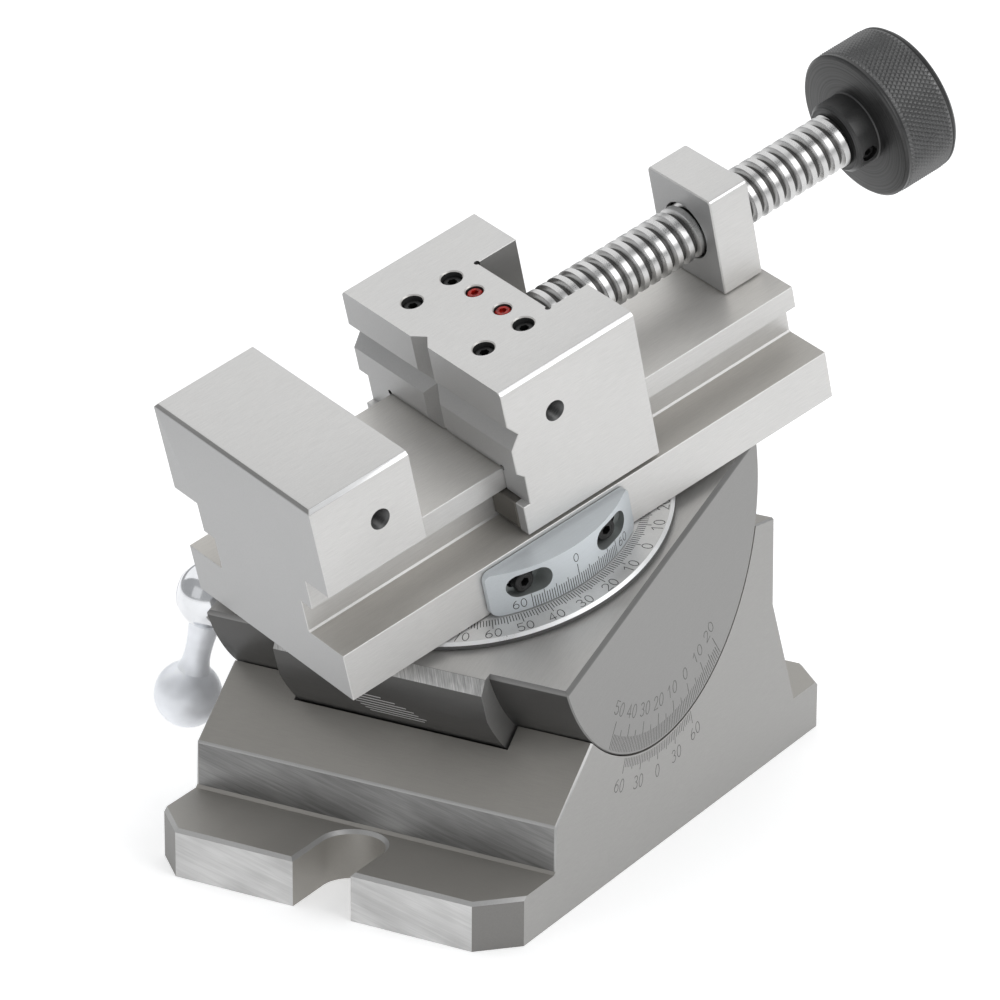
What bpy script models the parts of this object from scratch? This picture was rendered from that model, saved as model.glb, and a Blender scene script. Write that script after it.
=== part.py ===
"""Tilting and swivelling precision grinding vise on a graduated rotary table.

Frame: +X along the rocker's tilt axis, +Y to the rear, +Z up, origin in the middle of the base's
underside. Metres. Three frames carry the parts: the base (world), the rocker (turned about the
trough's axis) and the vise (turned about the rocker's normal, with +Y along the rail).
"""
from math import acos, asin, atan2, cos, pi, radians, sin, sqrt

import bmesh
import bpy
from mathutils import Matrix, Vector

MM = 0.001
GAP = 0.3 * MM                    # clearance between touching pieces

# Rest position of the two swivels.
TILT = radians(20.0)              # rocker about +X, front edge down
SWIVEL = radians(-23.4)           # vise about the rocker's normal

# Base block.
BASE_HALF_WIDTH = 56 * MM
BASE_HALF_LENGTH = 94.5 * MM
CORNER_CUT = 10 * MM
FLANGE_HEIGHT = 14 * MM
FRONT_WALL = (-67.9 * MM, 27.5 * MM)      # y and top z of the front wall
REAR_RIM = (54.6 * MM, 74.1 * MM)         # y and z of the rear rim's outer edge
REAR_WALL_FOOT = (55.4 * MM, 48.1 * MM)
REAR_FLANGE_START = 69.6 * MM
SLOT_HALF_WIDTH = 9 * MM
SLOT_STRAIGHT = 15.6 * MM         # from the flange's end to the slot's round end

# Trough in the base, and the rocker that lies in it.
AXIS_Y, AXIS_Z = -11.7 * MM, 87 * MM
TROUGH_RADIUS = 56.3 * MM
GROOVE_RADIUS = 63.6 * MM
GROOVE_HALF_WIDTH = 33.4 * MM
ROCKER_RADIUS = 56 * MM
RIB_RADIUS = 63 * MM
RIB_HALF_WIDTH = 32.3 * MM
RIB_FLAT = 60.8 * MM              # the rib's ends are milled flat at this distance
DECK = -4.3 * MM                  # rocker's top face, measured from the trough's axis
FRONT_RIM_Y = -48.6 * MM
REAR_RIM_INNER_Z = 75.6 * MM

# Scale ring, on the deck.
RING_RADIUS, RING_BORE = 53.2 * MM, 30 * MM
RING_TOP = 2.4 * MM
RING_SCREW_CIRCLE = 37 * MM

# Vise body, heights above the deck.
HALF_WIDTH = 35 * MM
RAIL_HALF, NECK_HALF = 24.6 * MM, 19.8 * MM
BED_FRONT, BED_REAR = -70.2 * MM, 96.7 * MM
FLANGE_BOTTOM, FLANGE_TOP = 2.7 * MM, 18 * MM
RAIL_BOTTOM, RAIL_TOP = 28.5 * MM, 35.4 * MM
JAW_TOP = 66.8 * MM
FIXED_JAW_REAR, FIXED_JAW_BOTTOM = -37.7 * MM, 38 * MM
SPINDLE_Z = 51.4 * MM
TAPPED_RADIUS, TAPPED_Z = 2.7 * MM, 52 * MM
FIXED_TAPPED_Y, MOVABLE_TAPPED_Y = -50.1 * MM, 8.3 * MM

# Vernier plate, on the bed's right side.
VERNIER_FACE = 44 * MM
VERNIER_END = 24.7 * MM
VERNIER_TOP = 16.8 * MM
VERNIER_FLOOR = 37.2 * MM         # bottom of the counterbored slots, from the swivel axis
VERNIER_SCREW_Y, VERNIER_SCREW_Z = 14 * MM, 9.2 * MM

# Movable jaw.
JAW_FRONT, JAW_REAR = -7.2 * MM, 38 * MM
SKIRT_BOTTOM = 19.2 * MM
KEEPER_OUTER = 31 * MM
NOTCH_HALF, NOTCH_FRONT = 15.5 * MM, 24.5 * MM

# Spindle, nut block and knob.
SPINDLE_RADIUS = 8 * MM
SPINDLE_BORE = 8.4 * MM
NUT_HALF, NUT_FRONT, NUT_REAR = 13.4 * MM, 82.2 * MM, 95.5 * MM
NUT_SCREW_X = 8 * MM
HUB_RADIUS, HUB_FACE = 10.5 * MM, 135.6 * MM
KNOB_RADIUS, KNOB_FACE, KNOB_END = 22 * MM, 143.2 * MM, 162.4 * MM

# Rocker clamp.
CLAMP_Y, CLAMP_Z = -41 * MM, -13 * MM     # clamp shaft, in the rocker frame
SHAFT_RADIUS = 5 * MM
LEVER_X = -65 * MM
LEVER_SLANT = radians(14.5)
LEVER_REACH = 32 * MM
BALL_RADIUS = 9.5 * MM
CAM_THROW = 1.35 * MM             # the cam points at the shoe while the lever hangs down

PARTS = None
CUTTERS = None


# ---------------------------------------------------------------- scene and frames

def clear_scene():
    for obj in list(bpy.data.objects):
        bpy.data.objects.remove(obj, do_unlink=True)


def new_collection(name):
    collection = bpy.data.collections.new(name)
    bpy.context.scene.collection.children.link(collection)
    return collection


def frame_empty(name, parent, location, rotation=(0, 0, 0)):
    empty = bpy.data.objects.new(name, None)
    empty.empty_display_size = 0.01
    empty.parent = parent
    empty.location = location
    empty.rotation_euler = rotation
    PARTS.objects.link(empty)
    return empty


def material(name, colour, roughness, metallic):
    mat = bpy.data.materials.new(name)
    mat.use_nodes = True
    shader = mat.node_tree.nodes["Principled BSDF"]
    shader.inputs["Base Color"].default_value = (*colour, 1)
    shader.inputs["Roughness"].default_value = roughness
    shader.inputs["Metallic"].default_value = metallic
    return mat


# ---------------------------------------------------------------- shapes

def place(name, mesh, frame):
    obj = bpy.data.objects.new(name, mesh)
    obj.parent = frame
    PARTS.objects.link(obj)
    return obj


def mesh_from(name, bm):
    bmesh.ops.recalc_face_normals(bm, faces=bm.faces)
    mesh = bpy.data.meshes.new(name)
    bm.to_mesh(mesh)
    bm.free()
    return mesh


def block(name, frame, low, high):
    """Box between two corners."""
    low, high = Vector(low), Vector(high)
    size = high - low
    bm = bmesh.new()
    bmesh.ops.create_cube(bm, size=1)
    scale = Matrix.Diagonal((*size, 1))
    bmesh.ops.transform(bm, matrix=Matrix.Translation((low + high) / 2) @ scale, verts=bm.verts)
    return place(name, mesh_from(name, bm), frame)


def along(axis):
    """Rotation that takes +Z to the named axis."""
    turns = {"X": Matrix.Rotation(pi / 2, 4, "Y"), "Y": Matrix.Rotation(-pi / 2, 4, "X")}
    return turns.get(axis, Matrix.Identity(4))


def rod(name, frame, radius, start, length, axis="Z", sides=24, end_radius=None):
    """Cylinder or cone from start, running along +axis."""
    bm = bmesh.new()
    top = radius if end_radius is None else end_radius
    bmesh.ops.create_cone(bm, cap_ends=True, segments=sides, radius1=radius, radius2=top, depth=length)
    lift = Matrix.Translation((0, 0, length / 2))
    bmesh.ops.transform(bm, matrix=Matrix.Translation(start) @ along(axis) @ lift, verts=bm.verts)
    obj = place(name, mesh_from(name, bm), frame)
    shade(obj)
    return obj


def to_mesh(obj):
    """Turn a curve or a modified object into a plain welded mesh object."""
    bpy.context.view_layer.update()
    name = obj.name
    evaluated = obj.evaluated_get(bpy.context.evaluated_depsgraph_get())
    mesh = bpy.data.meshes.new_from_object(evaluated)
    frame = obj.parent
    bpy.data.objects.remove(obj, do_unlink=True)
    bm = bmesh.new()
    bm.from_mesh(mesh)
    bmesh.ops.remove_doubles(bm, verts=bm.verts, dist=0.00002)
    bmesh.ops.recalc_face_normals(bm, faces=bm.faces)
    bm.to_mesh(mesh)
    bm.free()
    mesh.materials.clear()
    return place(name, mesh, frame)


def outline(name, frame, points, low, high, axis):
    """Flat outline extruded along an axis: (y, z) along X, (x, z) along Y, (x, y) along Z."""
    curve = bpy.data.curves.new(name, "CURVE")
    curve.dimensions = "2D"
    curve.fill_mode = "BOTH"
    curve.extrude = (high - low) / 2
    spline = curve.splines.new("POLY")
    spline.points.add(len(points) - 1)
    for point, (a, b) in zip(spline.points, points):
        point.co = (a, b, 0, 1)
    spline.use_cyclic_u = True
    obj = bpy.data.objects.new(name, curve)
    obj.parent = frame
    PARTS.objects.link(obj)
    obj = to_mesh(obj)
    columns = {
        "X": ((0, 1, 0), (0, 0, 1), (1, 0, 0)),
        "Y": ((1, 0, 0), (0, 0, 1), (0, -1, 0)),
        "Z": ((1, 0, 0), (0, 1, 0), (0, 0, 1)),
    }[axis]
    turn = Matrix(columns).transposed().to_4x4()
    middle = (low + high) / 2
    shift = {"X": (middle, 0, 0), "Y": (0, middle, 0), "Z": (0, 0, middle)}[axis]
    obj.data.transform(Matrix.Translation(shift) @ turn)
    shade(obj)
    return obj


def turned(name, frame, profile, start, axis="Z", sides=32):
    """Solid of revolution. The profile is (radius, distance along the axis), outer side downwards."""
    mesh = bpy.data.meshes.new(name)
    points = [(radius, 0, height) for radius, height in profile]
    mesh.from_pydata(points, [(i, i + 1) for i in range(len(points) - 1)], [])
    obj = place(name, mesh, frame)
    screw = obj.modifiers.new("turn", "SCREW")
    screw.steps = screw.render_steps = sides
    screw.use_merge_vertices = True
    screw.merge_threshold = 0.00001
    obj = to_mesh(obj)
    obj.data.transform(Matrix.Translation(start) @ along(axis))
    shade(obj)
    return obj


def arc(centre, radius, start, end, steps):
    """Points along an arc, angles in radians from the first axis."""
    turns = [start + (end - start) * i / steps for i in range(steps + 1)]
    return [(centre[0] + radius * cos(t), centre[1] + radius * sin(t)) for t in turns]


def shade(obj):
    obj.data.shade_smooth()
    obj.data.set_sharp_from_angle(angle=radians(35))


def paint(obj, mat):
    obj.data.materials.clear()
    obj.data.materials.append(mat)
    return obj


def combine(target, tool, operation):
    modifier = target.modifiers.new(operation.lower(), "BOOLEAN")
    modifier.operation = operation
    modifier.solver = "EXACT"
    modifier.object = tool
    for collection in list(tool.users_collection):
        collection.objects.unlink(tool)
    CUTTERS.objects.link(tool)
    tool.hide_render = True
    tool.display_type = "WIRE"


def cut(target, *tools):
    for tool in tools:
        combine(target, tool, "DIFFERENCE")


def add(target, *tools):
    for tool in tools:
        combine(target, tool, "UNION")


# ---------------------------------------------------------------- base

def slot_cutter(name, end):
    """U slot open at the flange's end; end is -1 at the front and +1 at the rear."""
    edge = end * (BASE_HALF_LENGTH + 2 * MM)
    round_y = end * (BASE_HALF_LENGTH - SLOT_STRAIGHT)
    turn = arc((0, round_y), SLOT_HALF_WIDTH, 0, -end * pi, 14)
    points = [(SLOT_HALF_WIDTH, edge)] + turn + [(-SLOT_HALF_WIDTH, edge)]
    return outline(name, None, points, -MM, FLANGE_HEIGHT + MM, "Z")


def base_profile():
    """Side outline (y, z): flanges, front wall and slope, trough, rear rim and rear wall."""
    front_angle = -acos((FRONT_RIM_Y - AXIS_Y) / TROUGH_RADIUS)
    rear_angle = asin((REAR_RIM_INNER_Z - AXIS_Z) / TROUGH_RADIUS)
    trough = arc((AXIS_Y, AXIS_Z), TROUGH_RADIUS, front_angle, rear_angle, 26)
    front = [(-BASE_HALF_LENGTH, 0), (-BASE_HALF_LENGTH, FLANGE_HEIGHT)]
    front += [(FRONT_WALL[0], FLANGE_HEIGHT), FRONT_WALL]
    rear = [REAR_RIM, REAR_WALL_FOOT, (REAR_FLANGE_START, FLANGE_HEIGHT)]
    rear += [(BASE_HALF_LENGTH, FLANGE_HEIGHT), (BASE_HALF_LENGTH, 0)]
    return (front + trough + rear)[::-1]


def make_base(mats):
    base = outline("base", None, base_profile(), -BASE_HALF_WIDTH, BASE_HALF_WIDTH, "X")
    groove = rod("base_groove", None, GROOVE_RADIUS, (-GROOVE_HALF_WIDTH, AXIS_Y, AXIS_Z),
                 2 * GROOVE_HALF_WIDTH, "X", 72)
    cut(base, groove, slot_cutter("base_slot_front", -1), slot_cutter("base_slot_rear", 1))
    reach = CORNER_CUT / sqrt(2)
    for side in (-1, 1):
        for end in (-1, 1):
            corner = block(f"base_corner_{side}_{end}", None, (-20 * MM, 0, -MM), (20 * MM, 20 * MM, 50 * MM))
            turn = Matrix.Rotation(atan2(-side, end), 4, "Z")
            middle = (side * BASE_HALF_WIDTH, end * BASE_HALF_LENGTH, 0)
            inwards = turn @ Matrix.Translation((0, -reach, 0))
            corner.data.transform(Matrix.Translation(middle) @ inwards)
            cut(base, corner)
    return paint(base, mats["base"])


# ---------------------------------------------------------------- rocker and its table

def segment_profile(radius, half_length, steps):
    """Part of a circle below the deck, (y, z) about the trough's axis, ends cut at half_length."""
    span = acos(-DECK / radius)
    y_at_deck = radius * sin(span)
    if half_length >= y_at_deck:
        return arc((0, 0), radius, -pi / 2 - span, -pi / 2 + span, steps)
    inner = asin(half_length / radius)
    curve = arc((0, 0), radius, -pi / 2 - inner, -pi / 2 + inner, steps)
    return [(-half_length, DECK)] + curve + [(half_length, DECK)]


def make_rocker(frame, mats):
    rocker = outline("rocker", frame, segment_profile(ROCKER_RADIUS, 1, 34),
                     -BASE_HALF_WIDTH, BASE_HALF_WIDTH, "X")
    rib = outline("rocker_rib", frame, segment_profile(RIB_RADIUS, RIB_FLAT, 36),
                  -RIB_HALF_WIDTH, RIB_HALF_WIDTH, "X")
    add(rocker, rib)
    bore = rod("rocker_bore", frame, 12.3 * MM, (0, 0, -80 * MM), 90 * MM)
    pocket = rod("rocker_pocket", frame, 19 * MM, (0, 0, -80 * MM), 45 * MM)
    shaft_bore = rod("rocker_shaft_bore", frame, SHAFT_RADIUS + GAP,
                     (-60 * MM, CLAMP_Y, CLAMP_Z), 72 * MM, "X")
    shoe_bore = rod("rocker_shoe_bore", frame, 4.8 * MM, (0, CLAMP_Y, -70 * MM), 57 * MM)
    cut(rocker, bore, pocket, shaft_bore, shoe_bore)
    for index, (x, y) in enumerate(ring_screw_places()):
        hole = rod(f"rocker_ring_hole_{index}", frame, 1.9 * MM, (x, y, DECK - 12 * MM), 14 * MM, sides=16)
        cut(rocker, hole)
    return paint(rocker, mats["rocker"])


def ring_screw_places():
    angles = [radians(90 + 120 * i) + SWIVEL for i in range(3)]
    return [(RING_SCREW_CIRCLE * cos(a), RING_SCREW_CIRCLE * sin(a)) for a in angles]


def make_ring(frame, mats):
    bottom, top = DECK + GAP, DECK + RING_TOP
    profile = [(RING_BORE, top), (RING_RADIUS - 0.4 * MM, top), (RING_RADIUS, top - 0.4 * MM)]
    profile += [(RING_RADIUS, bottom), (RING_BORE, bottom), (RING_BORE, top)]
    ring = turned("scale_ring", frame, profile, (0, 0, 0), sides=72)
    for index, (x, y) in enumerate(ring_screw_places()):
        sink = rod(f"ring_sink_{index}", frame, 2.0 * MM, (x, y, DECK), RING_TOP + 0.1 * MM,
                   end_radius=3.9 * MM, sides=16)
        cut(ring, sink)
        screw_profile = [(0, top - 0.3 * MM), (3.2 * MM, top - 0.3 * MM), (1.6 * MM, top - 1.9 * MM)]
        screw_profile += [(1.6 * MM, DECK - 11 * MM), (0, DECK - 11 * MM)]
        screw = turned(f"ring_screw_{index + 1}", frame, screw_profile, (x, y, 0), sides=16)
        socket = rod(f"ring_socket_{index}", frame, 1.15 * MM, (x, y, top - 1.5 * MM), 3 * MM, sides=6)
        cut(screw, socket)
        paint(screw, mats["screw"])
    return paint(ring, mats["ring"])


def make_pivot(table, mats):
    """Post fixed in the vise's underside, with the nut and washer that draw it down."""
    profile = [(0, 22 * MM), (8 * MM, 22 * MM), (8 * MM, 0), (12 * MM, 0), (12 * MM, -28 * MM)]
    profile += [(7 * MM, -28 * MM), (7 * MM, -46 * MM), (0, -46 * MM)]
    post = turned("pivot_post", table, profile, (0, 0, 0))
    washer_profile = [(7.3 * MM, -31.2 * MM), (16 * MM, -31.2 * MM), (16 * MM, -34 * MM)]
    washer_profile += [(7.3 * MM, -34 * MM), (7.3 * MM, -31.2 * MM)]
    washer = turned("pivot_washer", table, washer_profile, (0, 0, 0))
    nut = rod("pivot_nut", table, 13.5 * MM, (0, 0, -44 * MM), 9.7 * MM, sides=6)
    cut(nut, rod("pivot_nut_bore", table, 7.3 * MM, (0, 0, -46 * MM), 14 * MM))
    for piece in (post, washer, nut):
        paint(piece, mats["screw"])


# ---------------------------------------------------------------- rocker clamp

def handle_profile():
    """Tapered neck and ball, (radius, distance from the hub), ball's tip first."""
    waist, join = 3.7 * MM, 2.6
    turns = [join * i / 14 for i in range(15)]
    points = [(BALL_RADIUS * sin(t), LEVER_REACH + BALL_RADIUS * cos(t)) for t in turns]
    return points + [(waist, 19 * MM), (4.9 * MM, 4 * MM), (0, 4 * MM)]


def make_clamp(rocker_frame, mats):
    lever_frame = frame_empty("lever_axis", rocker_frame, (0, CLAMP_Y, CLAMP_Z), (-TILT, 0, 0))
    shaft_left = LEVER_X - 4.5 * MM
    shaft = rod("clamp_shaft", lever_frame, SHAFT_RADIUS, (shaft_left, 0, 0), -6 * MM - shaft_left, "X")
    cam_offset = (sin(TILT) * CAM_THROW, -cos(TILT) * CAM_THROW)
    cam = rod("clamp_cam", lever_frame, 3.4 * MM, (-6.5 * MM, *cam_offset), 13 * MM, "X")
    stub = rod("clamp_stub", lever_frame, SHAFT_RADIUS, (6 * MM, 0, 0), 5 * MM, "X")
    add(shaft, cam, stub)
    paint(shaft, mats["screw"])

    hub_radius, half = 9.6 * MM, 7.2 * MM
    reach = asin(half / hub_radius)
    steps = 12
    turns = [reach - 2 * reach * i / steps for i in range(steps + 1)]
    hub_profile = [(0, half)] + [(hub_radius * cos(t), hub_radius * sin(t)) for t in turns] + [(0, -half)]
    lever = turned("clamp_lever", lever_frame, hub_profile, (LEVER_X, 0, 0), "X", 28)
    direction = Vector((-sin(LEVER_SLANT), 0, -cos(LEVER_SLANT)))
    turn = Vector((0, 0, 1)).rotation_difference(direction).to_matrix().to_4x4()
    handle = turned("lever_handle", lever_frame, handle_profile(), (0, 0, 0), sides=24)
    handle.data.transform(Matrix.Translation((LEVER_X, 0, 0)) @ turn)
    add(lever, handle)
    bore = rod("lever_bore", lever_frame, SHAFT_RADIUS + GAP, (shaft_left - GAP, 0, 0), 20 * MM, "X")
    cut(lever, bore)
    paint(lever, mats["chrome"])

    ring_x = -BASE_HALF_WIDTH - 1.5 * MM
    washer = rod("lever_washer", rocker_frame, 7.5 * MM, (ring_x, CLAMP_Y, CLAMP_Z), 1.2 * MM, "X")
    hole = rod("lever_washer_hole", rocker_frame, SHAFT_RADIUS + GAP,
               (ring_x - MM, CLAMP_Y, CLAMP_Z), 4 * MM, "X")
    cut(washer, hole)
    paint(washer, mats["screw"])

    shoe_top = CLAMP_Z - 5.25 * MM
    shoe = rod("clamp_shoe", rocker_frame, 4.5 * MM, (0, CLAMP_Y, shoe_top - 45 * MM), 45 * MM)
    wrap = rod("clamp_shoe_end", rocker_frame, GROOVE_RADIUS - 0.35 * MM, (-10 * MM, 0, 0), 20 * MM, "X", 72)
    combine(shoe, wrap, "INTERSECT")
    paint(shoe, mats["screw"])


# ---------------------------------------------------------------- vise body

def channel_profile(side):
    """Section (x, z) of the space beside the neck and rail, under the fixed jaw."""
    reach = HALF_WIDTH + MM
    points = [(reach, FLANGE_TOP), (reach, FIXED_JAW_BOTTOM), (RAIL_HALF, FIXED_JAW_BOTTOM)]
    points += [(RAIL_HALF, RAIL_BOTTOM), (NECK_HALF, RAIL_BOTTOM), (NECK_HALF, FLANGE_TOP)]
    return [(side * x, z) for x, z in points]


def make_body(vise, mats):
    body = block("vise_body", vise, (-HALF_WIDTH, BED_FRONT, FLANGE_BOTTOM), (HALF_WIDTH, BED_REAR, JAW_TOP))
    reach = HALF_WIDTH + MM
    cut(body, block("body_bed_space", vise, (-reach, FIXED_JAW_REAR, RAIL_TOP),
                    (reach, BED_REAR + MM, JAW_TOP + MM)))
    for side in (-1, 1):
        cut(body, outline(f"body_channel_{side}", vise, channel_profile(side),
                          BED_FRONT - MM, BED_REAR + MM, "Y"))
    boss = rod("body_boss", vise, RING_BORE - GAP, (0, 0, GAP), 4 * MM, sides=48)
    add(body, boss)
    socket = rod("body_post_hole", vise, 8.3 * MM, (0, 0, -MM), 24 * MM)
    recess = rod("body_post_recess", vise, 12.3 * MM, (0, 0, -MM), MM + 2 * GAP)
    cut(body, socket, recess)
    for side in (-1, 1):
        hole = rod(f"body_side_hole_{side}", vise, TAPPED_RADIUS,
                   (side * 29 * MM - 7 * MM, FIXED_TAPPED_Y, TAPPED_Z), 14 * MM, "X", 16)
        cut(body, hole)
        y = side * VERNIER_SCREW_Y
        cut(body, rod(f"body_vernier_hole_{side}", vise, 2.3 * MM, (25 * MM, y, VERNIER_SCREW_Z), 12 * MM, "X", 16))
        x, y = side * NUT_SCREW_X, (NUT_FRONT + NUT_REAR) / 2
        cut(body, rod(f"body_nut_hole_{side}", vise, 2.8 * MM, (x, y, 0), 40 * MM, sides=16),
            rod(f"body_nut_sink_{side}", vise, 4.8 * MM, (x, y, 0), 9 * MM, sides=16))
    return paint(body, mats["vise"])


# ---------------------------------------------------------------- vernier plate

def slot_outline(y, half_length, half_width, x_low, x_high, name, vise):
    """Slot with round ends along Y, cut along X."""
    run = half_length - half_width
    points = arc((y + run, VERNIER_SCREW_Z), half_width, -pi / 2, pi / 2, 8)
    points += arc((y - run, VERNIER_SCREW_Z), half_width, pi / 2, 3 * pi / 2, 8)
    return outline(name, vise, points, x_low, x_high, "X")


def make_vernier(vise, mats):
    chord = HALF_WIDTH + GAP
    swing = asin(VERNIER_END / VERNIER_FACE)
    points = [(chord, -VERNIER_END)] + arc((0, 0), VERNIER_FACE, -swing, swing, 16) + [(chord, VERNIER_END)]
    plate = outline("vernier_plate", vise, points, RING_TOP + GAP, VERNIER_TOP, "Z")
    for side, label in ((-1, "left"), (1, "right")):
        y = side * VERNIER_SCREW_Y
        cut(plate, slot_outline(y, 7 * MM, 4.2 * MM, VERNIER_FLOOR, 50 * MM, f"vernier_sink_{label}", vise))
        cut(plate, slot_outline(y, 5 * MM, 2.3 * MM, 30 * MM, 40 * MM, f"vernier_slot_{label}", vise))
        head_x = VERNIER_FLOOR + GAP
        screw = rod(f"vernier_screw_{label}", vise, 2 * MM, (26 * MM, y, VERNIER_SCREW_Z), 12 * MM, "X", 16)
        head = rod(f"vernier_head_{label}", vise, 3.5 * MM, (head_x, y, VERNIER_SCREW_Z), 3.2 * MM, "X", 20)
        add(screw, head)
        cut(screw, rod(f"vernier_hex_{label}", vise, 1.7 * MM, (head_x + MM, y, VERNIER_SCREW_Z), 5 * MM, "X", 6))
        paint(screw, mats["screw"])
    return paint(plate, mats["vernier"])


# ---------------------------------------------------------------- movable jaw

def jaw_profile():
    """Cross-section (x, z): block over the rail, skirts beside it, rebates for the keepers."""
    step = KEEPER_OUTER + GAP
    inner = RAIL_HALF + GAP
    half = [(inner, RAIL_TOP + GAP), (inner, RAIL_BOTTOM), (step, RAIL_BOTTOM), (step, SKIRT_BOTTOM)]
    half += [(HALF_WIDTH, SKIRT_BOTTOM), (HALF_WIDTH, JAW_TOP)]
    return half + [(-x, z) for x, z in reversed(half)]


def jaw_screw_places():
    """(name, x, y, hole radius, hole bottom) of the screws in the jaw's top."""
    rows = (("front", 2.4 * MM), ("rear", 15.9 * MM))
    sides = (("left", -15.7 * MM), ("right", 15.7 * MM))
    places = [(f"jaw_screw_{side}_{row}", x, y, 3 * MM, 53 * MM) for side, x in sides for row, y in rows]
    places += [(f"jaw_pin_{side}", x * 0.39, 16.3 * MM, 2.5 * MM, 43 * MM) for side, x in sides]
    return places


def make_movable_jaw(jaw, mats):
    body = outline("movable_jaw", jaw, jaw_profile(), JAW_FRONT, JAW_REAR, "Y")
    reach = HALF_WIDTH + MM
    groove = [(JAW_FRONT - MM, 55.6 * MM), (JAW_FRONT + 3 * MM, 51.6 * MM), (JAW_FRONT - MM, 47.6 * MM)]
    cut(body, outline("jaw_groove_level", jaw, groove, -reach, reach, "X"))
    groove = [(-4 * MM, JAW_FRONT - MM), (4 * MM, JAW_FRONT - MM), (0, JAW_FRONT + 2.8 * MM)]
    cut(body, outline("jaw_groove_upright", jaw, groove, 30 * MM, JAW_TOP + MM, "Z"))
    ledge = [(JAW_FRONT - MM, 40.9 * MM), (JAW_FRONT + 2.2 * MM, 37.7 * MM)]
    ledge += [(JAW_FRONT + 2.2 * MM, RAIL_BOTTOM), (JAW_FRONT - MM, RAIL_BOTTOM)]
    cut(body, outline("jaw_ledge", jaw, ledge, -reach, reach, "X"))
    notch = block("jaw_notch", jaw, (-NOTCH_HALF, NOTCH_FRONT, 10 * MM), (NOTCH_HALF, JAW_REAR + MM, 70 * MM))
    cut(body, notch)
    cut(body, rod("jaw_spindle_bore", jaw, SPINDLE_BORE, (0, 10.9 * MM, SPINDLE_Z), 20 * MM, "Y"))
    for side in (-1, 1):
        cut(body, rod(f"jaw_side_hole_{side}", jaw, TAPPED_RADIUS,
                      (side * 29 * MM - 7 * MM, MOVABLE_TAPPED_Y, TAPPED_Z), 14 * MM, "X", 16))
        cut(body, rod(f"jaw_relief_{side}", jaw, 0.8 * MM,
                      (side * NOTCH_HALF, NOTCH_FRONT, 30 * MM), 40 * MM, sides=12))
    for name, x, y, radius, bottom in jaw_screw_places():
        cut(body, rod(f"{name}_hole", jaw, radius, (x, y, bottom), 40 * MM, sides=16))
        pin = name.startswith("jaw_pin")
        top = JAW_TOP - (0.5 if pin else 0.9) * MM
        screw = rod(name, jaw, radius - GAP, (x, y, bottom + GAP), top - bottom - GAP, sides=16)
        cut(screw, rod(f"{name}_hex", jaw, radius * 0.5, (x, y, top - 2 * MM), 4 * MM, sides=6))
        paint(screw, mats["sealed" if pin else "screw"])
    return paint(body, mats["vise"])


def make_keepers(jaw, mats):
    """Bars under the rail, screwed to the jaw's skirts from below."""
    bottom, top = SKIRT_BOTTOM + GAP, RAIL_BOTTOM - GAP
    for side, label in ((-1, "left"), (1, "right")):
        xs = sorted((side * (NECK_HALF + GAP), side * KEEPER_OUTER))
        keeper = block(f"jaw_keeper_{label}", jaw, (xs[0], JAW_FRONT, bottom), (xs[1], JAW_REAR, top))
        for index, y in enumerate((4 * MM, 27 * MM)):
            x = side * 28 * MM
            tag = f"{label}_{index + 1}"
            cut(keeper, rod(f"keeper_hole_{tag}", jaw, 1.8 * MM, (x, y, 10 * MM), 30 * MM, sides=12),
                rod(f"keeper_sink_{tag}", jaw, 2.8 * MM, (x, y, 10 * MM), bottom - 7 * MM, sides=16))
            cut(bpy.data.objects["movable_jaw"],
                rod(f"jaw_keeper_hole_{tag}", jaw, 1.8 * MM, (x, y, 20 * MM), 17.5 * MM, sides=12))
            profile = [(0, 36 * MM), (1.5 * MM, 36 * MM), (1.5 * MM, 22.2 * MM)]
            profile += [(2.5 * MM, 22.2 * MM), (2.5 * MM, bottom + 0.2 * MM), (0, bottom + 0.2 * MM)]
            screw = turned(f"keeper_screw_{tag}", jaw, profile, (x, y, 0), sides=12)
            cut(screw, rod(f"keeper_hex_{tag}", jaw, 1.2 * MM, (x, y, 15 * MM), 6 * MM, sides=6))
            paint(screw, mats["screw"])
        paint(keeper, mats["vise"])


# ---------------------------------------------------------------- nut block, spindle and knob

def make_nut_block(vise, mats):
    low, high = (-NUT_HALF, NUT_FRONT, RAIL_TOP + GAP), (NUT_HALF, NUT_REAR, JAW_TOP)
    nut = block("nut_block", vise, low, high)
    cut(nut, rod("nut_bore", vise, SPINDLE_BORE, (0, NUT_FRONT - MM, SPINDLE_Z), 20 * MM, "Y"))
    for side, label in ((-1, "left"), (1, "right")):
        x, y = side * NUT_SCREW_X, (NUT_FRONT + NUT_REAR) / 2
        cut(nut, rod(f"nut_hole_{label}", vise, 2.8 * MM, (x, y, 30 * MM), 12 * MM, sides=16))
        profile = [(0, 41.5 * MM), (2.4 * MM, 41.5 * MM), (2.4 * MM, 8.6 * MM), (4.3 * MM, 8.6 * MM)]
        profile += [(4.3 * MM, 3.6 * MM), (0, 3.6 * MM)]
        screw = turned(f"nut_screw_{label}", vise, profile, (x, y, 0), sides=16)
        cut(screw, rod(f"nut_hex_{label}", vise, 2.2 * MM, (x, y, 0), 6 * MM, sides=6))
        paint(screw, mats["screw"])
    return paint(nut, mats["vise"])


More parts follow.
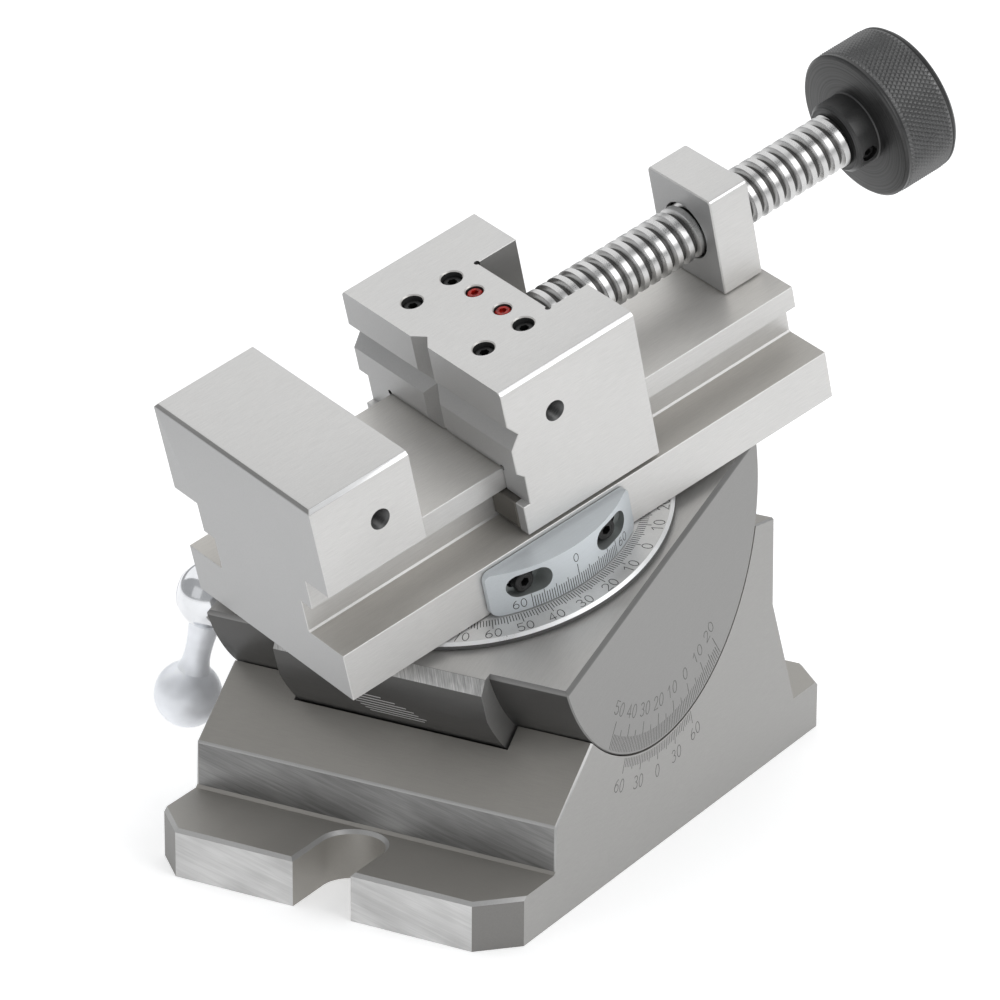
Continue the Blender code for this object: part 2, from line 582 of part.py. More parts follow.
def make_spindle(axis_frame, mats):
    """Leadscrew; distances run along the spindle from the swivel axis. The thread is left plain."""
    radius, neck, shank = SPINDLE_RADIUS, 3.3 * MM, 6 * MM
    thread_end = HUB_FACE - GAP
    profile = [(0, 158 * MM), (shank, 158 * MM), (shank, thread_end), (radius, thread_end)]
    profile += [(radius, 19.2 * MM), (neck, 19.2 * MM), (neck, 13.4 * MM), (radius, 13.4 * MM)]
    profile += [(radius, 11.4 * MM), (0, 11.4 * MM)]
    spindle = turned("spindle", axis_frame, profile, (0, 0, 0), "Y")
    return paint(spindle, mats["spindle"])


def make_knob(axis_frame, mats):
    profile = [(0, KNOB_END), (KNOB_RADIUS - 2.4 * MM, KNOB_END), (KNOB_RADIUS - 0.6 * MM, KNOB_END - 0.9 * MM)]
    profile += [(KNOB_RADIUS, KNOB_END - 2.4 * MM), (KNOB_RADIUS, KNOB_FACE + 2 * MM)]
    profile += [(KNOB_RADIUS - 0.6 * MM, KNOB_FACE + 0.6 * MM), (KNOB_RADIUS - 2 * MM, KNOB_FACE)]
    profile += [(HUB_RADIUS, KNOB_FACE), (HUB_RADIUS, HUB_FACE + 0.5 * MM), (HUB_RADIUS - 0.5 * MM, HUB_FACE)]
    profile += [(6.3 * MM, HUB_FACE), (6.3 * MM, 158.3 * MM), (0, 158.3 * MM)]
    knob = turned("hand_knob", axis_frame, profile, (0, 0, 0), "Y", 40)
    hole_y, turn = 139.6 * MM, Matrix.Rotation(radians(14), 4, "Y")
    hole = rod("knob_hole", axis_frame, 2.5 * MM, (5 * MM, hole_y, 0), 10 * MM, "X", 16)
    screw = rod("knob_screw", axis_frame, 2.2 * MM, (6.6 * MM, hole_y, 0), 2.9 * MM, "X", 16)
    hexagon = rod("knob_hex", axis_frame, 1.2 * MM, (8 * MM, hole_y, 0), 5 * MM, "X", 6)
    for piece in (hole, screw, hexagon):
        piece.data.transform(turn)
    cut(knob, hole)
    cut(screw, hexagon)
    paint(screw, mats["screw"])
    return paint(knob, mats["knob"])


# ---------------------------------------------------------------- assembly

def make_materials():
    return {
        "base": material("base_steel", (0.36, 0.35, 0.33), 0.38, 1),
        "rocker": material("rocker_steel", (0.38, 0.37, 0.35), 0.38, 1),
        "ring": material("scale_ring", (0.72, 0.71, 0.70), 0.3, 1),
        "vernier": material("vernier_plate", (0.50, 0.54, 0.57), 0.35, 1),
        "vise": material("ground_steel", (0.62, 0.61, 0.58), 0.3, 1),
        "spindle": material("spindle_steel", (0.58, 0.57, 0.55), 0.25, 1),
        "knob": material("black_oxide", (0.05, 0.05, 0.05), 0.45, 0.6),
        "screw": material("dark_screw", (0.07, 0.07, 0.07), 0.4, 0.8),
        "sealed": material("sealed_screw", (0.5, 0.04, 0.03), 0.4, 0),
        "chrome": material("chrome", (0.80, 0.81, 0.83), 0.08, 1),
    }


def main():
    global PARTS, CUTTERS
    clear_scene()
    PARTS = new_collection("tilting_swivel_vise")
    CUTTERS = new_collection("cutters")
    mats = make_materials()

    rocker = frame_empty("rocker_axis", None, (0, AXIS_Y, AXIS_Z), (TILT, 0, 0))
    vise = frame_empty("table_axis", rocker, (0, 0, DECK), (0, 0, SWIVEL))
    jaw = frame_empty("jaw_slide", vise, (0, 0, 0))
    spindle = frame_empty("spindle_axis", jaw, (0, 0, SPINDLE_Z))

    make_base(mats)
    make_rocker(rocker, mats)
    make_ring(rocker, mats)
    make_clamp(rocker, mats)
    make_pivot(vise, mats)
    make_body(vise, mats)
    make_vernier(vise, mats)
    make_nut_block(vise, mats)
    make_movable_jaw(jaw, mats)
    make_keepers(jaw, mats)
    make_spindle(spindle, mats)
    make_knob(spindle, mats)
    bpy.context.view_layer.update()


main()
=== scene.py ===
"""Looks of the tilting and swivelling precision vise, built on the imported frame.

Shapes are modelled in millimetres in the frame of the part they belong to (base, rocker, vise or spindle),
then scaled to metres and placed. Materials are procedural and follow each piece's own object coordinates.
"""
from math import acos, asin, atan2, cos, hypot, pi, radians, sin, sqrt

import bmesh
import bpy
from mathutils import Matrix, Vector


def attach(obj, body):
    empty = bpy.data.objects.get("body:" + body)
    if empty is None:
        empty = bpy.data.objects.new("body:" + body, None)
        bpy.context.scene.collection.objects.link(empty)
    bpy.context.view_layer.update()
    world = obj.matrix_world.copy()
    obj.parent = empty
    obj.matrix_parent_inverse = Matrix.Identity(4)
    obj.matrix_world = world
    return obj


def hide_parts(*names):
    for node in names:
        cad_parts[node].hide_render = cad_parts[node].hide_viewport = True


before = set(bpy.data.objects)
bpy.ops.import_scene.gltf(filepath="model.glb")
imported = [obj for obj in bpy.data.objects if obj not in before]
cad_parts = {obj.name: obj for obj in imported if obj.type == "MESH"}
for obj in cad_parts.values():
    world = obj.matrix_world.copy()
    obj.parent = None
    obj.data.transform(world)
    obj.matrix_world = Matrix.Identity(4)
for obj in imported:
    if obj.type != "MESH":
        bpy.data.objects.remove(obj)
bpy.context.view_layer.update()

MM = 0.001

# --- sizes, millimetres
TILT, SWIVEL = radians(20.0), radians(-23.4)
AXIS_Y, AXIS_Z, DECK = -11.7, 87.0, -4.3

BASE_HALF_WIDTH, BASE_HALF_LENGTH = 56.0, 94.5
CORNER_CUT, FLANGE_HEIGHT = 10.0, 14.0
ABOVE_FLANGES = 20.0               # edges higher than this belong to the block, not the flanges
FRONT_WALL = (-67.9, 27.5)
FRONT_RIM_Y = -48.6
REAR_RIM_INNER_Z = 75.6
REAR_RIM, REAR_WALL_FOOT, REAR_FLANGE_START = (54.6, 74.1), (55.4, 48.1), 69.6
SLOT_HALF_WIDTH, SLOT_STRAIGHT = 9.0, 15.6
TROUGH_RADIUS, GROOVE_RADIUS, GROOVE_HALF_WIDTH = 56.3, 63.6, 33.4
ROCKER_RADIUS, RIB_RADIUS, RIB_HALF_WIDTH, RIB_FLAT = 56.0, 63.0, 32.3, 60.8
RIB_CHAMFER = 3.2

VERNIER_STEP = 0.95                # degrees between the marks of both verniers
RING_RADIUS, RING_BORE, RING_TOP = 53.2, 30.0, 2.4
RING_ZERO = radians(2.5)           # where the ring's 0 stands, round from the rocker's X axis

HALF_WIDTH, RAIL_HALF, NECK_HALF = 35.0, 24.6, 19.8
BED_FRONT, BED_REAR = -70.2, 96.7
FLANGE_BOTTOM, FLANGE_TOP, RAIL_BOTTOM, RAIL_TOP = 2.7, 18.0, 28.5, 35.4
JAW_TOP, FIXED_JAW_REAR, FIXED_JAW_BOTTOM = 66.8, -37.7, 38.0
SPINDLE_Z = 51.4
TAPPED_RADIUS, TAPPED_Z, FIXED_TAPPED_Y, MOVABLE_TAPPED_Y = 2.7, 52.0, -50.1, 8.3

VERNIER_RADIUS, VERNIER_END, VERNIER_TOP, VERNIER_FLOOR = 44.2, 24.7, 16.8, 37.2
VERNIER_SCREW_Y, VERNIER_SCREW_Z = 14.0, 11.0
VERNIER_CORNER = 2.2               # rounding of the plate's four corners
VERNIER_FACET = 15.8               # height where the plate's sloping top meets its round face, midway

JAW_FRONT, JAW_REAR, SKIRT_BOTTOM, KEEPER_OUTER = -7.2, 38.0, 19.2, 31.0
NOTCH_HALF, NOTCH_FRONT = 15.5, 24.5
NUT_HALF, NUT_FRONT, NUT_REAR, NUT_SCREW_X = 13.4, 82.2, 95.5, 8
KEEPER_SCREW_X, KEEPER_SCREW_YS = 28, (4, 27)

SCREW_RADIUS, ROOT_RADIUS, PITCH = 8.0, 6.75, 4.0
HUB_RADIUS, HUB_FACE = 10.5, 135.6
KNOB_RADIUS, KNOB_FACE, KNOB_END = 22.0, 143.2, 162.4

CLAMP_Y, CLAMP_Z, LEVER_X = -41.0, -13.0, -65.0
LEVER_SLANT, LEVER_REACH, BALL_RADIUS = radians(14.5), 32.0, 9.5

PLAIN, EDGE, BORE, MILLED, WALL, OTHER, END = range(7)    # material slots of the machined pieces
SATIN = 0.62                       # metallic share of the ground surfaces, whose fine grain scatters light


def millimetres(x, y, z):
    return Matrix.Translation(Vector((x, y, z)) * MM)


WORLD = Matrix.Identity(4)
ROCKER = millimetres(0, AXIS_Y, AXIS_Z) @ Matrix.Rotation(TILT, 4, "X")
VISE = ROCKER @ millimetres(0, 0, DECK) @ Matrix.Rotation(SWIVEL, 4, "Z")
SPINDLE = VISE @ millimetres(0, 0, SPINDLE_Z)


# --- shapes

def add_object(name, data):
    obj = bpy.data.objects.new(name, data)
    bpy.context.scene.collection.objects.link(obj)
    return obj


def mesh_object(name, bm):
    """Turn a finished bmesh into an object."""
    mesh = bpy.data.meshes.new(name)
    bm.to_mesh(mesh)
    bm.free()
    return add_object(name, mesh)


def shape(bm):
    bmesh.ops.remove_doubles(bm, verts=bm.verts, dist=0.0005)
    bmesh.ops.recalc_face_normals(bm, faces=bm.faces)
    return mesh_object("shape", bm)


def edit(obj, change):
    """Run change(bm) on the object's mesh."""
    bm = bmesh.new()
    bm.from_mesh(obj.data)
    change(bm)
    bm.normal_update()
    bm.to_mesh(obj.data)
    bm.free()
    return obj


def along(axis):
    turns = {"X": Matrix.Rotation(pi / 2, 4, "Y"), "Y": Matrix.Rotation(-pi / 2, 4, "X")}
    return turns.get(axis, Matrix.Identity(4))


def moved(obj, matrix):
    obj.data.transform(matrix)
    return obj


def block(low, high):
    """Box between two corners."""
    low, high = Vector(low), Vector(high)
    bm = bmesh.new()
    bmesh.ops.create_cube(bm, size=1)
    scale = Matrix.Diagonal((*(high - low), 1))
    bmesh.ops.transform(bm, matrix=Matrix.Translation((low + high) / 2) @ scale,
                        verts=bm.verts)
    return shape(bm)


def prism(points, low, high, axis):
    """Outline extruded along an axis: (y, z) along X, (x, z) along Y, (x, y) along Z."""
    lift = {"X": lambda a, b, c: (c, a, b),
            "Y": lambda a, b, c: (a, c, b),
            "Z": lambda a, b, c: (a, b, c)}[axis]
    bm = bmesh.new()
    rows = [[bm.verts.new(lift(a, b, c)) for a, b in points] for c in (low, high)]
    bm.faces.new(rows[0])
    bm.faces.new(rows[1][::-1])
    for i in range(len(points)):
        j = (i + 1) % len(points)
        bm.faces.new((rows[0][i], rows[0][j], rows[1][j], rows[1][i]))
    return shape(bm)


def lathe(profile, start=(0, 0, 0), axis="Z", sides=64):
    """Solid of revolution from a (radius, distance along the axis) profile."""
    bm = bmesh.new()
    rings = []
    for radius, height in profile:
        turns = [2 * pi * i / sides for i in range(sides if radius > 0 else 1)]
        rings.append([bm.verts.new((radius * cos(t), radius * sin(t), height)) for t in turns])
    for lower, upper in zip(rings, rings[1:]):
        for i in range(sides):
            j = (i + 1) % sides
            corners = [lower[i % len(lower)], lower[j % len(lower)],
                       upper[j % len(upper)], upper[i % len(upper)]]
            corners = list(dict.fromkeys(corners))
            if len(corners) > 2:
                bm.faces.new(corners)
    return moved(shape(bm), Matrix.Translation(start) @ along(axis))


def rod(radius, start, length, axis="Z", sides=48, end_radius=None):
    end = radius if end_radius is None else end_radius
    return lathe([(0, 0), (radius, 0), (end, length), (0, length)], start, axis, sides)


def arc(centre, radius, start, end, steps):
    turns = [start + (end - start) * i / steps for i in range(steps + 1)]
    return [(centre[0] + radius * cos(t), centre[1] + radius * sin(t)) for t in turns]


def combine(target, tool, operation="DIFFERENCE"):
    modifier = target.modifiers.new("combine", "BOOLEAN")
    modifier.operation = operation
    modifier.solver = "EXACT"
    modifier.object = tool
    bpy.context.view_layer.update()
    old = target.data
    evaluated = target.evaluated_get(bpy.context.evaluated_depsgraph_get())
    target.data = bpy.data.meshes.new_from_object(evaluated)
    target.modifiers.clear()
    bpy.data.meshes.remove(old)
    bpy.data.objects.remove(tool)
    return target


def cut(target, *tools, slot=PLAIN):
    for tool in tools:
        for poly in tool.data.polygons:
            poly.material_index = slot
        for mat in target.data.materials:
            tool.data.materials.append(mat)
        combine(target, tool)
    return target


def chamfer(obj, width, pick=lambda a, b: True, slot=EDGE, limit=30):
    """Flat chamfer on the convex edges that pick(end, end) accepts."""
    def change(bm):
        bmesh.ops.dissolve_limit(bm, angle_limit=radians(0.4), verts=bm.verts, edges=bm.edges,
                                 delimit={"MATERIAL"})
        bm.normal_update()
        edges = [e for e in bm.edges if len(e.link_faces) == 2 and e.is_convex
                 and e.calc_face_angle(0) > radians(limit) and pick(*[v.co for v in e.verts])]
        bmesh.ops.bevel(bm, geom=edges, offset=width, segments=1, profile=0.5, affect="EDGES",
                        clamp_overlap=True, material=slot)
    return edit(obj, change)


def repaint(obj, slot, test):
    """Give the faces that test(centre, normal) accepts another material slot."""
    for poly in obj.data.polygons:
        if poly.material_index == PLAIN and test(poly.center, poly.normal):
            poly.material_index = slot
    return obj


def dress(obj, *mats):
    for mat in mats:
        obj.data.materials.append(mat)
    return obj


def join(name, objs):
    bm = bmesh.new()
    for obj in objs:
        bm.from_mesh(obj.data)
    joined = dress(mesh_object(name, bm), *objs[0].data.materials)
    for obj in objs:
        bpy.data.objects.remove(obj)
    return joined


def place(obj, name, matrix, body, slot, *nodes, smooth=32):
    """Scale a finished shape to metres, put it in its frame and let it ride on its body."""
    obj.name = obj.data.name = name
    obj.data.transform(Matrix.Scale(MM, 4))
    obj.data.shade_smooth()
    obj.data.set_sharp_from_angle(angle=radians(smooth))
    obj.matrix_world = matrix
    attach(obj, body)
    if nodes:
        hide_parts(*nodes)
    return obj


def place_screw(screw, recess, name, matrix, body, node):
    """Cut a fastener's hexagon recess and put it in place."""
    cut(dress(screw, MATS["screw"]), recess)
    place(screw, name, matrix, body, "screw", node)


# --- materials

def socket(node, name, value):
    node.inputs[name].default_value = value


class Graph:
    """Small helper around a material's node tree."""

    def __init__(self, metallic=1.0, roughness=0.35):
        self.mat = bpy.data.materials.new("finish")
        self.mat.use_nodes = True
        self.tree = self.mat.node_tree
        self.shader = self.tree.nodes["Principled BSDF"]
        socket(self.shader, "Metallic", metallic)
        socket(self.shader, "Roughness", roughness)
        self.place = self.add("ShaderNodeTexCoord").outputs["Object"]

    def add(self, kind, **values):
        node = self.tree.nodes.new(kind)
        for key, value in values.items():
            setattr(node, key, value)
        return node

    def link(self, source, target):
        self.tree.links.new(source, target)

    def noise(self, size, stretch=(1, 1, 1), turn=(0, 0, 0), detail=3.0, roughness=0.55):
        """Noise with features of the given size in millimetres, stretched along the turned axes."""
        mapping = self.add("ShaderNodeMapping", vector_type="TEXTURE")
        socket(mapping, "Scale", [size * MM * s for s in stretch])
        socket(mapping, "Rotation", turn)
        self.link(self.place, mapping.inputs["Vector"])
        noise = self.add("ShaderNodeTexNoise")
        socket(noise, "Scale", 1.0)
        socket(noise, "Detail", detail)
        socket(noise, "Roughness", roughness)
        self.link(mapping.outputs[0], noise.inputs["Vector"])
        return noise.outputs["Fac"]

    def rings(self, size):
        """Noise that depends only on the distance from the Y axis."""
        flat = self.add("ShaderNodeVectorMath", operation="MULTIPLY")
        flat.inputs[1].default_value = (1, 0, 1)
        self.link(self.place, flat.inputs[0])
        length = self.add("ShaderNodeVectorMath", operation="LENGTH")
        self.link(flat.outputs[0], length.inputs[0])
        noise = self.add("ShaderNodeTexNoise", noise_dimensions="1D")
        socket(noise, "Scale", 1.0)
        socket(noise, "Detail", 2.0)
        self.link(self.math("DIVIDE", length.outputs["Value"], size * MM), noise.inputs["W"])
        return noise.outputs["Fac"]

    def spread(self, source, low, high, span=(0.3, 0.7)):
        """Map a value from span to low..high."""
        node = self.add("ShaderNodeMapRange")
        for name, value in zip(("From Min", "From Max", "To Min", "To Max"), (*span, low, high)):
            socket(node, name, value)
        self.link(source, node.inputs["Value"])
        return node.outputs[0]

    def math(self, operation, a, b):
        node = self.add("ShaderNodeMath", operation=operation)
        for index, value in enumerate((a, b)):
            if isinstance(value, (int, float)):
                node.inputs[index].default_value = value
            else:
                self.link(value, node.inputs[index])
        return node.outputs[0]

    def tint(self, colour, factor):
        """Base colour multiplied by a factor."""
        node = self.add("ShaderNodeVectorMath", operation="SCALE")
        node.inputs[0].default_value = colour
        self.link(factor, node.inputs["Scale"])
        self.link(node.outputs[0], self.shader.inputs["Base Color"])

    def bump(self, height, distance, strength=1.0):
        node = self.add("ShaderNodeBump")
        socket(node, "Distance", distance * MM)
        socket(node, "Strength", strength)
        self.link(height, node.inputs["Height"])
        if self.shader.inputs["Normal"].is_linked:
            self.link(self.shader.inputs["Normal"].links[0].from_socket, node.inputs["Normal"])
        self.link(node.outputs[0], self.shader.inputs["Normal"])


def grey(level, warmth=0.0):
    """Linear grey, warm when warmth is positive."""
    return (level * (1 + warmth), level * (1 + warmth * 0.25), level * (1 - warmth))


def ground_steel(colour, roughness=0.34, grain=0.05, direction=(1, 14, 1), metallic=SATIN):
    """Ground or satin steel: fine scratches along one direction, a sandy grain and slow clouds."""
    g = Graph(metallic)
    scratches = g.noise(0.35, direction, detail=4)
    sand = g.noise(0.22, detail=2)
    clouds = g.noise(24, (1, 1.6, 1), detail=2)
    factor = g.math("MULTIPLY", g.spread(scratches, 1 - grain, 1 + grain), g.spread(clouds, 0.97, 1.03))
    factor = g.math("MULTIPLY", factor, g.spread(sand, 1 - grain * 0.7, 1 + grain * 0.7))
    g.tint(colour, factor)
    rough = g.spread(clouds, roughness - 0.03, roughness + 0.03)
    rough = g.math("ADD", g.spread(scratches, -0.04, 0.04), rough)
    g.link(rough, g.shader.inputs["Roughness"])
    g.bump(sand, 0.012, 0.35)
    g.bump(scratches, 0.012, 0.35)
    return g.mat


def milled_steel(colour, turn, contrast=0.3, roughness=0.46, size=1.1, stretch=26):
    """Face-milled steel: long slanting cutter marks of changing depth over a fine grain."""
    g = Graph(SATIN)
    marks = g.noise(size, (stretch, stretch, 1), turn, detail=2)
    fine = g.noise(size * 0.3, (stretch, stretch, 1), turn, detail=3)
    broad = g.noise(size * 7, (2.2, 2.2, 1), turn, detail=1)
    factor = g.math("MULTIPLY", g.spread(marks, 1 - contrast, 1 + contrast), g.spread(broad, 0.88, 1.12))
    factor = g.math("MULTIPLY", factor, g.spread(fine, 1 - contrast * 0.5, 1 + contrast * 0.5))
    g.tint(colour, factor)
    g.link(g.spread(marks, roughness - 0.08, roughness + 0.08), g.shader.inputs["Roughness"])
    g.bump(marks, 0.05, 0.5)
    g.bump(fine, 0.02, 0.5)
    return g.mat


def turned_steel(colour, roughness=0.25, grain=0.08, metallic=SATIN, sand_size=0.5,
                 lathe_marks=0.0, sand_depth=0.004):
    """Turned steel: a sandy grain, slow clouds and, where wanted, fine rings round the Y axis."""
    g = Graph(metallic)
    sand = g.noise(sand_size, detail=3)
    clouds = g.noise(7, detail=2)
    factor = g.math("MULTIPLY", g.spread(sand, 1 - grain, 1 + grain), g.spread(clouds, 0.93, 1.07))
    if lathe_marks:
        rings = g.rings(0.55)
        factor = g.math("MULTIPLY", factor, g.spread(rings, 1 - lathe_marks, 1 + lathe_marks))
        g.bump(rings, 0.04, 0.5)
    g.tint(colour, factor)
    g.link(g.math("ADD", g.spread(sand, -0.05, 0.05), g.spread(clouds, roughness - 0.04, roughness + 0.05)),
           g.shader.inputs["Roughness"])
    if sand_depth:
        g.bump(sand, sand_depth, 0.3)
    return g.mat


def lacquer(colour, roughness=0.32):
    """Brittle sealing lacquer that has run and dried unevenly."""
    g = Graph(0.0, roughness)
    drops = g.noise(0.9, detail=2)
    g.tint(colour, g.spread(drops, 0.35, 1.4))
    g.bump(drops, 0.3, 0.9)
    socket(g.shader, "Specular IOR Level", 0.3)
    return g.mat


def engraving(colour):
    g = Graph(0.3, 0.6)
    g.tint(colour, g.spread(g.noise(0.6, detail=2), 0.8, 1.25))
    return g.mat


SLANT_DOWN = (0, radians(13), 0)   # cutter marks that run down to the right
ACROSS_STRIP = (0, radians(58), 0)

MATS = {
    "vise": ground_steel(grey(0.62, 0.014), 0.46),
    # painted shade: the faces that look along the vise, its ends and the jaw's front, are painted darker
    # than its tops and sides
    "vise_end_shade": ground_steel(grey(0.44, 0.0), 0.48),
    "vise_bed": ground_steel(grey(0.66, 0.03), 0.48),
    # painted shade: the flange tops under the rails are painted darker and warmer
    "vise_flange_shade": ground_steel(grey(0.54, 0.045), 0.50),
    # painted highlight: the long top chamfers of the vise body, jaw and nut are painted near-white to stand
    # for glints
    "vise_edge_glint": ground_steel(grey(0.97, 0.0), 0.34, 0.02),
    # painted shade: the front top chamfer of the body and the walls of the jaw's notch are painted dark
    "vise_painted_shade": ground_steel(grey(0.30, 0.02), 0.45, 0.03),
    "keeper": ground_steel(grey(0.15, 0.08), 0.50),
    # painted shade: holes, bores and their rims are painted near-black for the shade inside them
    "bore": turned_steel(grey(0.09, 0.0), 0.4),
    "base": ground_steel(grey(0.36, 0.02), 0.48),
    # painted shade: the cut corners of the base are painted darker than its sides
    "base_corner_shade": ground_steel(grey(0.21, 0.03), 0.48),
    "base_top": ground_steel(grey(0.36, 0.055), 0.50, 0.04, (14, 1, 1)),
    # painted highlight: the base's chamfers are painted lighter than its faces
    "base_edge_glint": ground_steel(grey(0.46, 0.01), 0.42, 0.04),
    # face-milled ends of the base: the cutter marks are real, their light tone is a painted reflection
    "base_milled_lit": milled_steel(grey(0.58, 0.006), SLANT_DOWN, 0.10, size=0.9),
    # face-milled front wall: the cutter marks are real, its dark tone is painted shade
    "wall_milled_shade": milled_steel(grey(0.255, 0.01), SLANT_DOWN, 0.19, size=0.8),
    "rocker": ground_steel(grey(0.285, 0.015), 0.46),
    # painted shade: the rocker's chamfers are painted darker than its faces
    "rocker_edge_shade": ground_steel(grey(0.20, 0.015), 0.42, 0.04),
    # painted shade: the rocker's and rib's down-facing round faces and its holes are painted near-black
    "rocker_painted_shade": ground_steel(grey(0.086, 0.02), 0.42, 0.05, (14, 1, 1)),
    "rocker_milled": milled_steel(grey(0.44, 0.01), ACROSS_STRIP, 0.30, 0.42, 0.20, 40),
    "rocker_deck": ground_steel(grey(0.49, 0.02), 0.42),
    "ring": turned_steel(grey(0.66, 0.008), 0.44, 0.05, sand_size=0.3),
    # painted highlight: the ring's rim chamfer is painted near-white
    "ring_edge_glint": turned_steel(grey(0.92, 0.0), 0.34, 0.01, sand_size=0.3, sand_depth=0.0),
    # painted reflection: the ring's outer wall is painted dark for the dark deck it mirrors
    "ring_wall_shade": turned_steel(grey(0.14, 0.0), 0.40, 0.02, sand_size=0.3, sand_depth=0.0),
    "vernier": ground_steel((0.64, 0.675, 0.70), 0.52, 0.03),
    # painted shade: the walls of the plate's slots and its chamfers take this darker copy of the plate
    # steel
    "vernier_edge_shade": ground_steel((0.36, 0.38, 0.375), 0.42, 0.03),
    "spindle": turned_steel(grey(0.58, 0.006), 0.30, 0.05, 1.0, 0.3),
    # painted shade: the roots of the thread are painted near-black
    "thread_root_shade": turned_steel(grey(0.085, 0.02), 0.45, 0.10, 1.0, 0.3),
    "knob": turned_steel(grey(0.060, 0.0), 0.38, 0.12, 0.75, 0.35, 0.25),
    "knurl": turned_steel(grey(0.150, 0.0), 0.34, 0.12, 0.75, 0.35),
    "screw": turned_steel(grey(0.030, 0.0), 0.34, 0.12, 0.7, 0.3),
    "seal": lacquer((0.36, 0.014, 0.008)),
    "chrome": turned_steel((0.90, 0.92, 0.96), 0.40, 0.01, 0.35, 0.3),
    "polished": turned_steel((0.78, 0.79, 0.81), 0.13, 0.01, 1.0, 0.3),
    "mark": engraving(grey(0.025, 0.02)),
    "mark_soft": engraving(grey(0.11, 0.02)),
    # painted reflection: light lines that stand for glints off the rib's milling marks
    "tool_mark_glint": ground_steel(grey(0.70, 0.0), 0.36),
}
for use, finish in MATS.items():
    finish.name = use + "_finish"


# --- engraving

def bow(cx, cy, rx, ry, start, end, steps=10):
    turns = [radians(start + (end - start) * i / steps) for i in range(steps + 1)]
    return [(cx + rx * cos(t), cy + ry * sin(t)) for t in turns]


def loop(cx, cy, rx, ry):
    return bow(cx, cy, rx, ry, 0, 360, 20)[:-1] + ["closed"]


# Strokes of each digit in a cell 0.6 wide and 1 high.
GLYPHS = {
    "0": [loop(.3, .5, .28, .5)],
    "1": [[(.1, .76), (.36, 1), (.36, 0)]],
    "2": [bow(.3, .71, .27, .29, 165, -38) + [(.03, 0), (.6, 0)]],
    "3": [bow(.27, .76, .25, .24, 150, -90)[:-1] + bow(.27, .26, .3, .26, 90, -150)],
    "4": [[(.6, .28), (0, .28), (.43, 1), (.43, 0)]],
    "5": [[(.54, 1), (.09, 1), (.05, .55)] + bow(.27, .31, .3, .31, 118, -145)],
    "6": [loop(.3, .29, .28, .29), bow(.62, .3, .6, .7, 180, 112, 6)],
    "7": [[(0, 1), (.58, 1), (.2, 0)]],
    "8": [loop(.3, .76, .23, .24), loop(.3, .26, .29, .26)],
    "9": [loop(.3, .71, .28, .29), bow(-.02, .7, .6, .7, 0, -68, 6)],
}


def tick(count, tenth, fifth, single):
    """Where a scale's mark ends: tenth, fifth and single marks differ in length."""
    return tenth if count % 10 == 0 else fifth if count % 5 == 0 else single


def lettering(text, centre, turn, height):
    """Digits centred on a point, with their reading direction turned by an angle."""
    step = 0.82 * height
    shift = -(step * (len(text) - 1) + 0.6 * height) / 2
    strokes = []
    for index, digit in enumerate(text):
        for stroke in GLYPHS[digit]:
            points = []
            for point in stroke:
                if point == "closed":
                    points.append(point)
                    continue
                a, b = shift + index * step + point[0] * height, (point[1] - 0.5) * height
                points.append((centre[0] + a * cos(turn) - b * sin(turn),
                               centre[1] + a * sin(turn) + b * cos(turn)))
            strokes.append(points)
    return strokes


def ribbon(bm, stroke, width, surface, proud=0.02, sunk=0.12):
    """Thin closed bar of even width that follows a stroke on a surface(p, q, height)."""
    closed = stroke[-1] == "closed"
    points = [Vector(p) for p in (stroke[:-1] if closed else stroke)]
    count = len(points)
    rows = []
    for i, point in enumerate(points):
        before = points[i - 1] if (i or closed) else None
        after = points[(i + 1) % count] if (i + 1 < count or closed) else None
        ways = (point - before if before else None, after - point if after else None)
        ways = [way.normalized() for way in ways if way]
        mean = sum(ways, Vector((0, 0))).normalized()
        half = width / 2 / max(0.5, mean.dot(ways[0]))
        side = Vector((-mean.y, mean.x)) * half
        if not closed and before is None:
            point = point - mean * width / 2
        if not closed and after is None:
            point = point + mean * width / 2
        left, right = point + side, point - side
        rows.append([bm.verts.new(surface(*p, h)) for p, h in
                     ((left, proud), (right, proud), (right, -sunk), (left, -sunk))])
    pairs = list(zip(rows, rows[1:])) + ([(rows[-1], rows[0])] if closed else [])
    for near, far in pairs:
        for k in range(4):
            m = (k + 1) % 4
            bm.faces.new((near[k], near[m], far[m], far[k]))
    if not closed:
        bm.faces.new(rows[0][::-1])
        bm.faces.new(rows[-1])


def engrave(name, strokes, width, surface, mat, matrix, body, slot):
    bm = bmesh.new()
    for stroke in strokes:
        ribbon(bm, stroke, width, surface)
    bmesh.ops.recalc_face_normals(bm, faces=bm.faces)
    return place(dress(mesh_object(name, bm), mat), name, matrix, body, slot)


# --- base

def base_profile():
    front_angle = -acos((FRONT_RIM_Y - AXIS_Y) / TROUGH_RADIUS)
    rear_angle = asin((REAR_RIM_INNER_Z - AXIS_Z) / TROUGH_RADIUS)
    trough = arc((AXIS_Y, AXIS_Z), TROUGH_RADIUS, front_angle, rear_angle, 80)
    wall, foot = FRONT_WALL[0], 0.8
    front = [(-BASE_HALF_LENGTH, 0), (-BASE_HALF_LENGTH, FLANGE_HEIGHT), (wall - foot, FLANGE_HEIGHT),
             (wall, FLANGE_HEIGHT + foot), FRONT_WALL]
    rear = [REAR_RIM, REAR_WALL_FOOT, (REAR_FLANGE_START, FLANGE_HEIGHT)]
    return front + trough + rear + [(BASE_HALF_LENGTH, FLANGE_HEIGHT), (BASE_HALF_LENGTH, 0)]


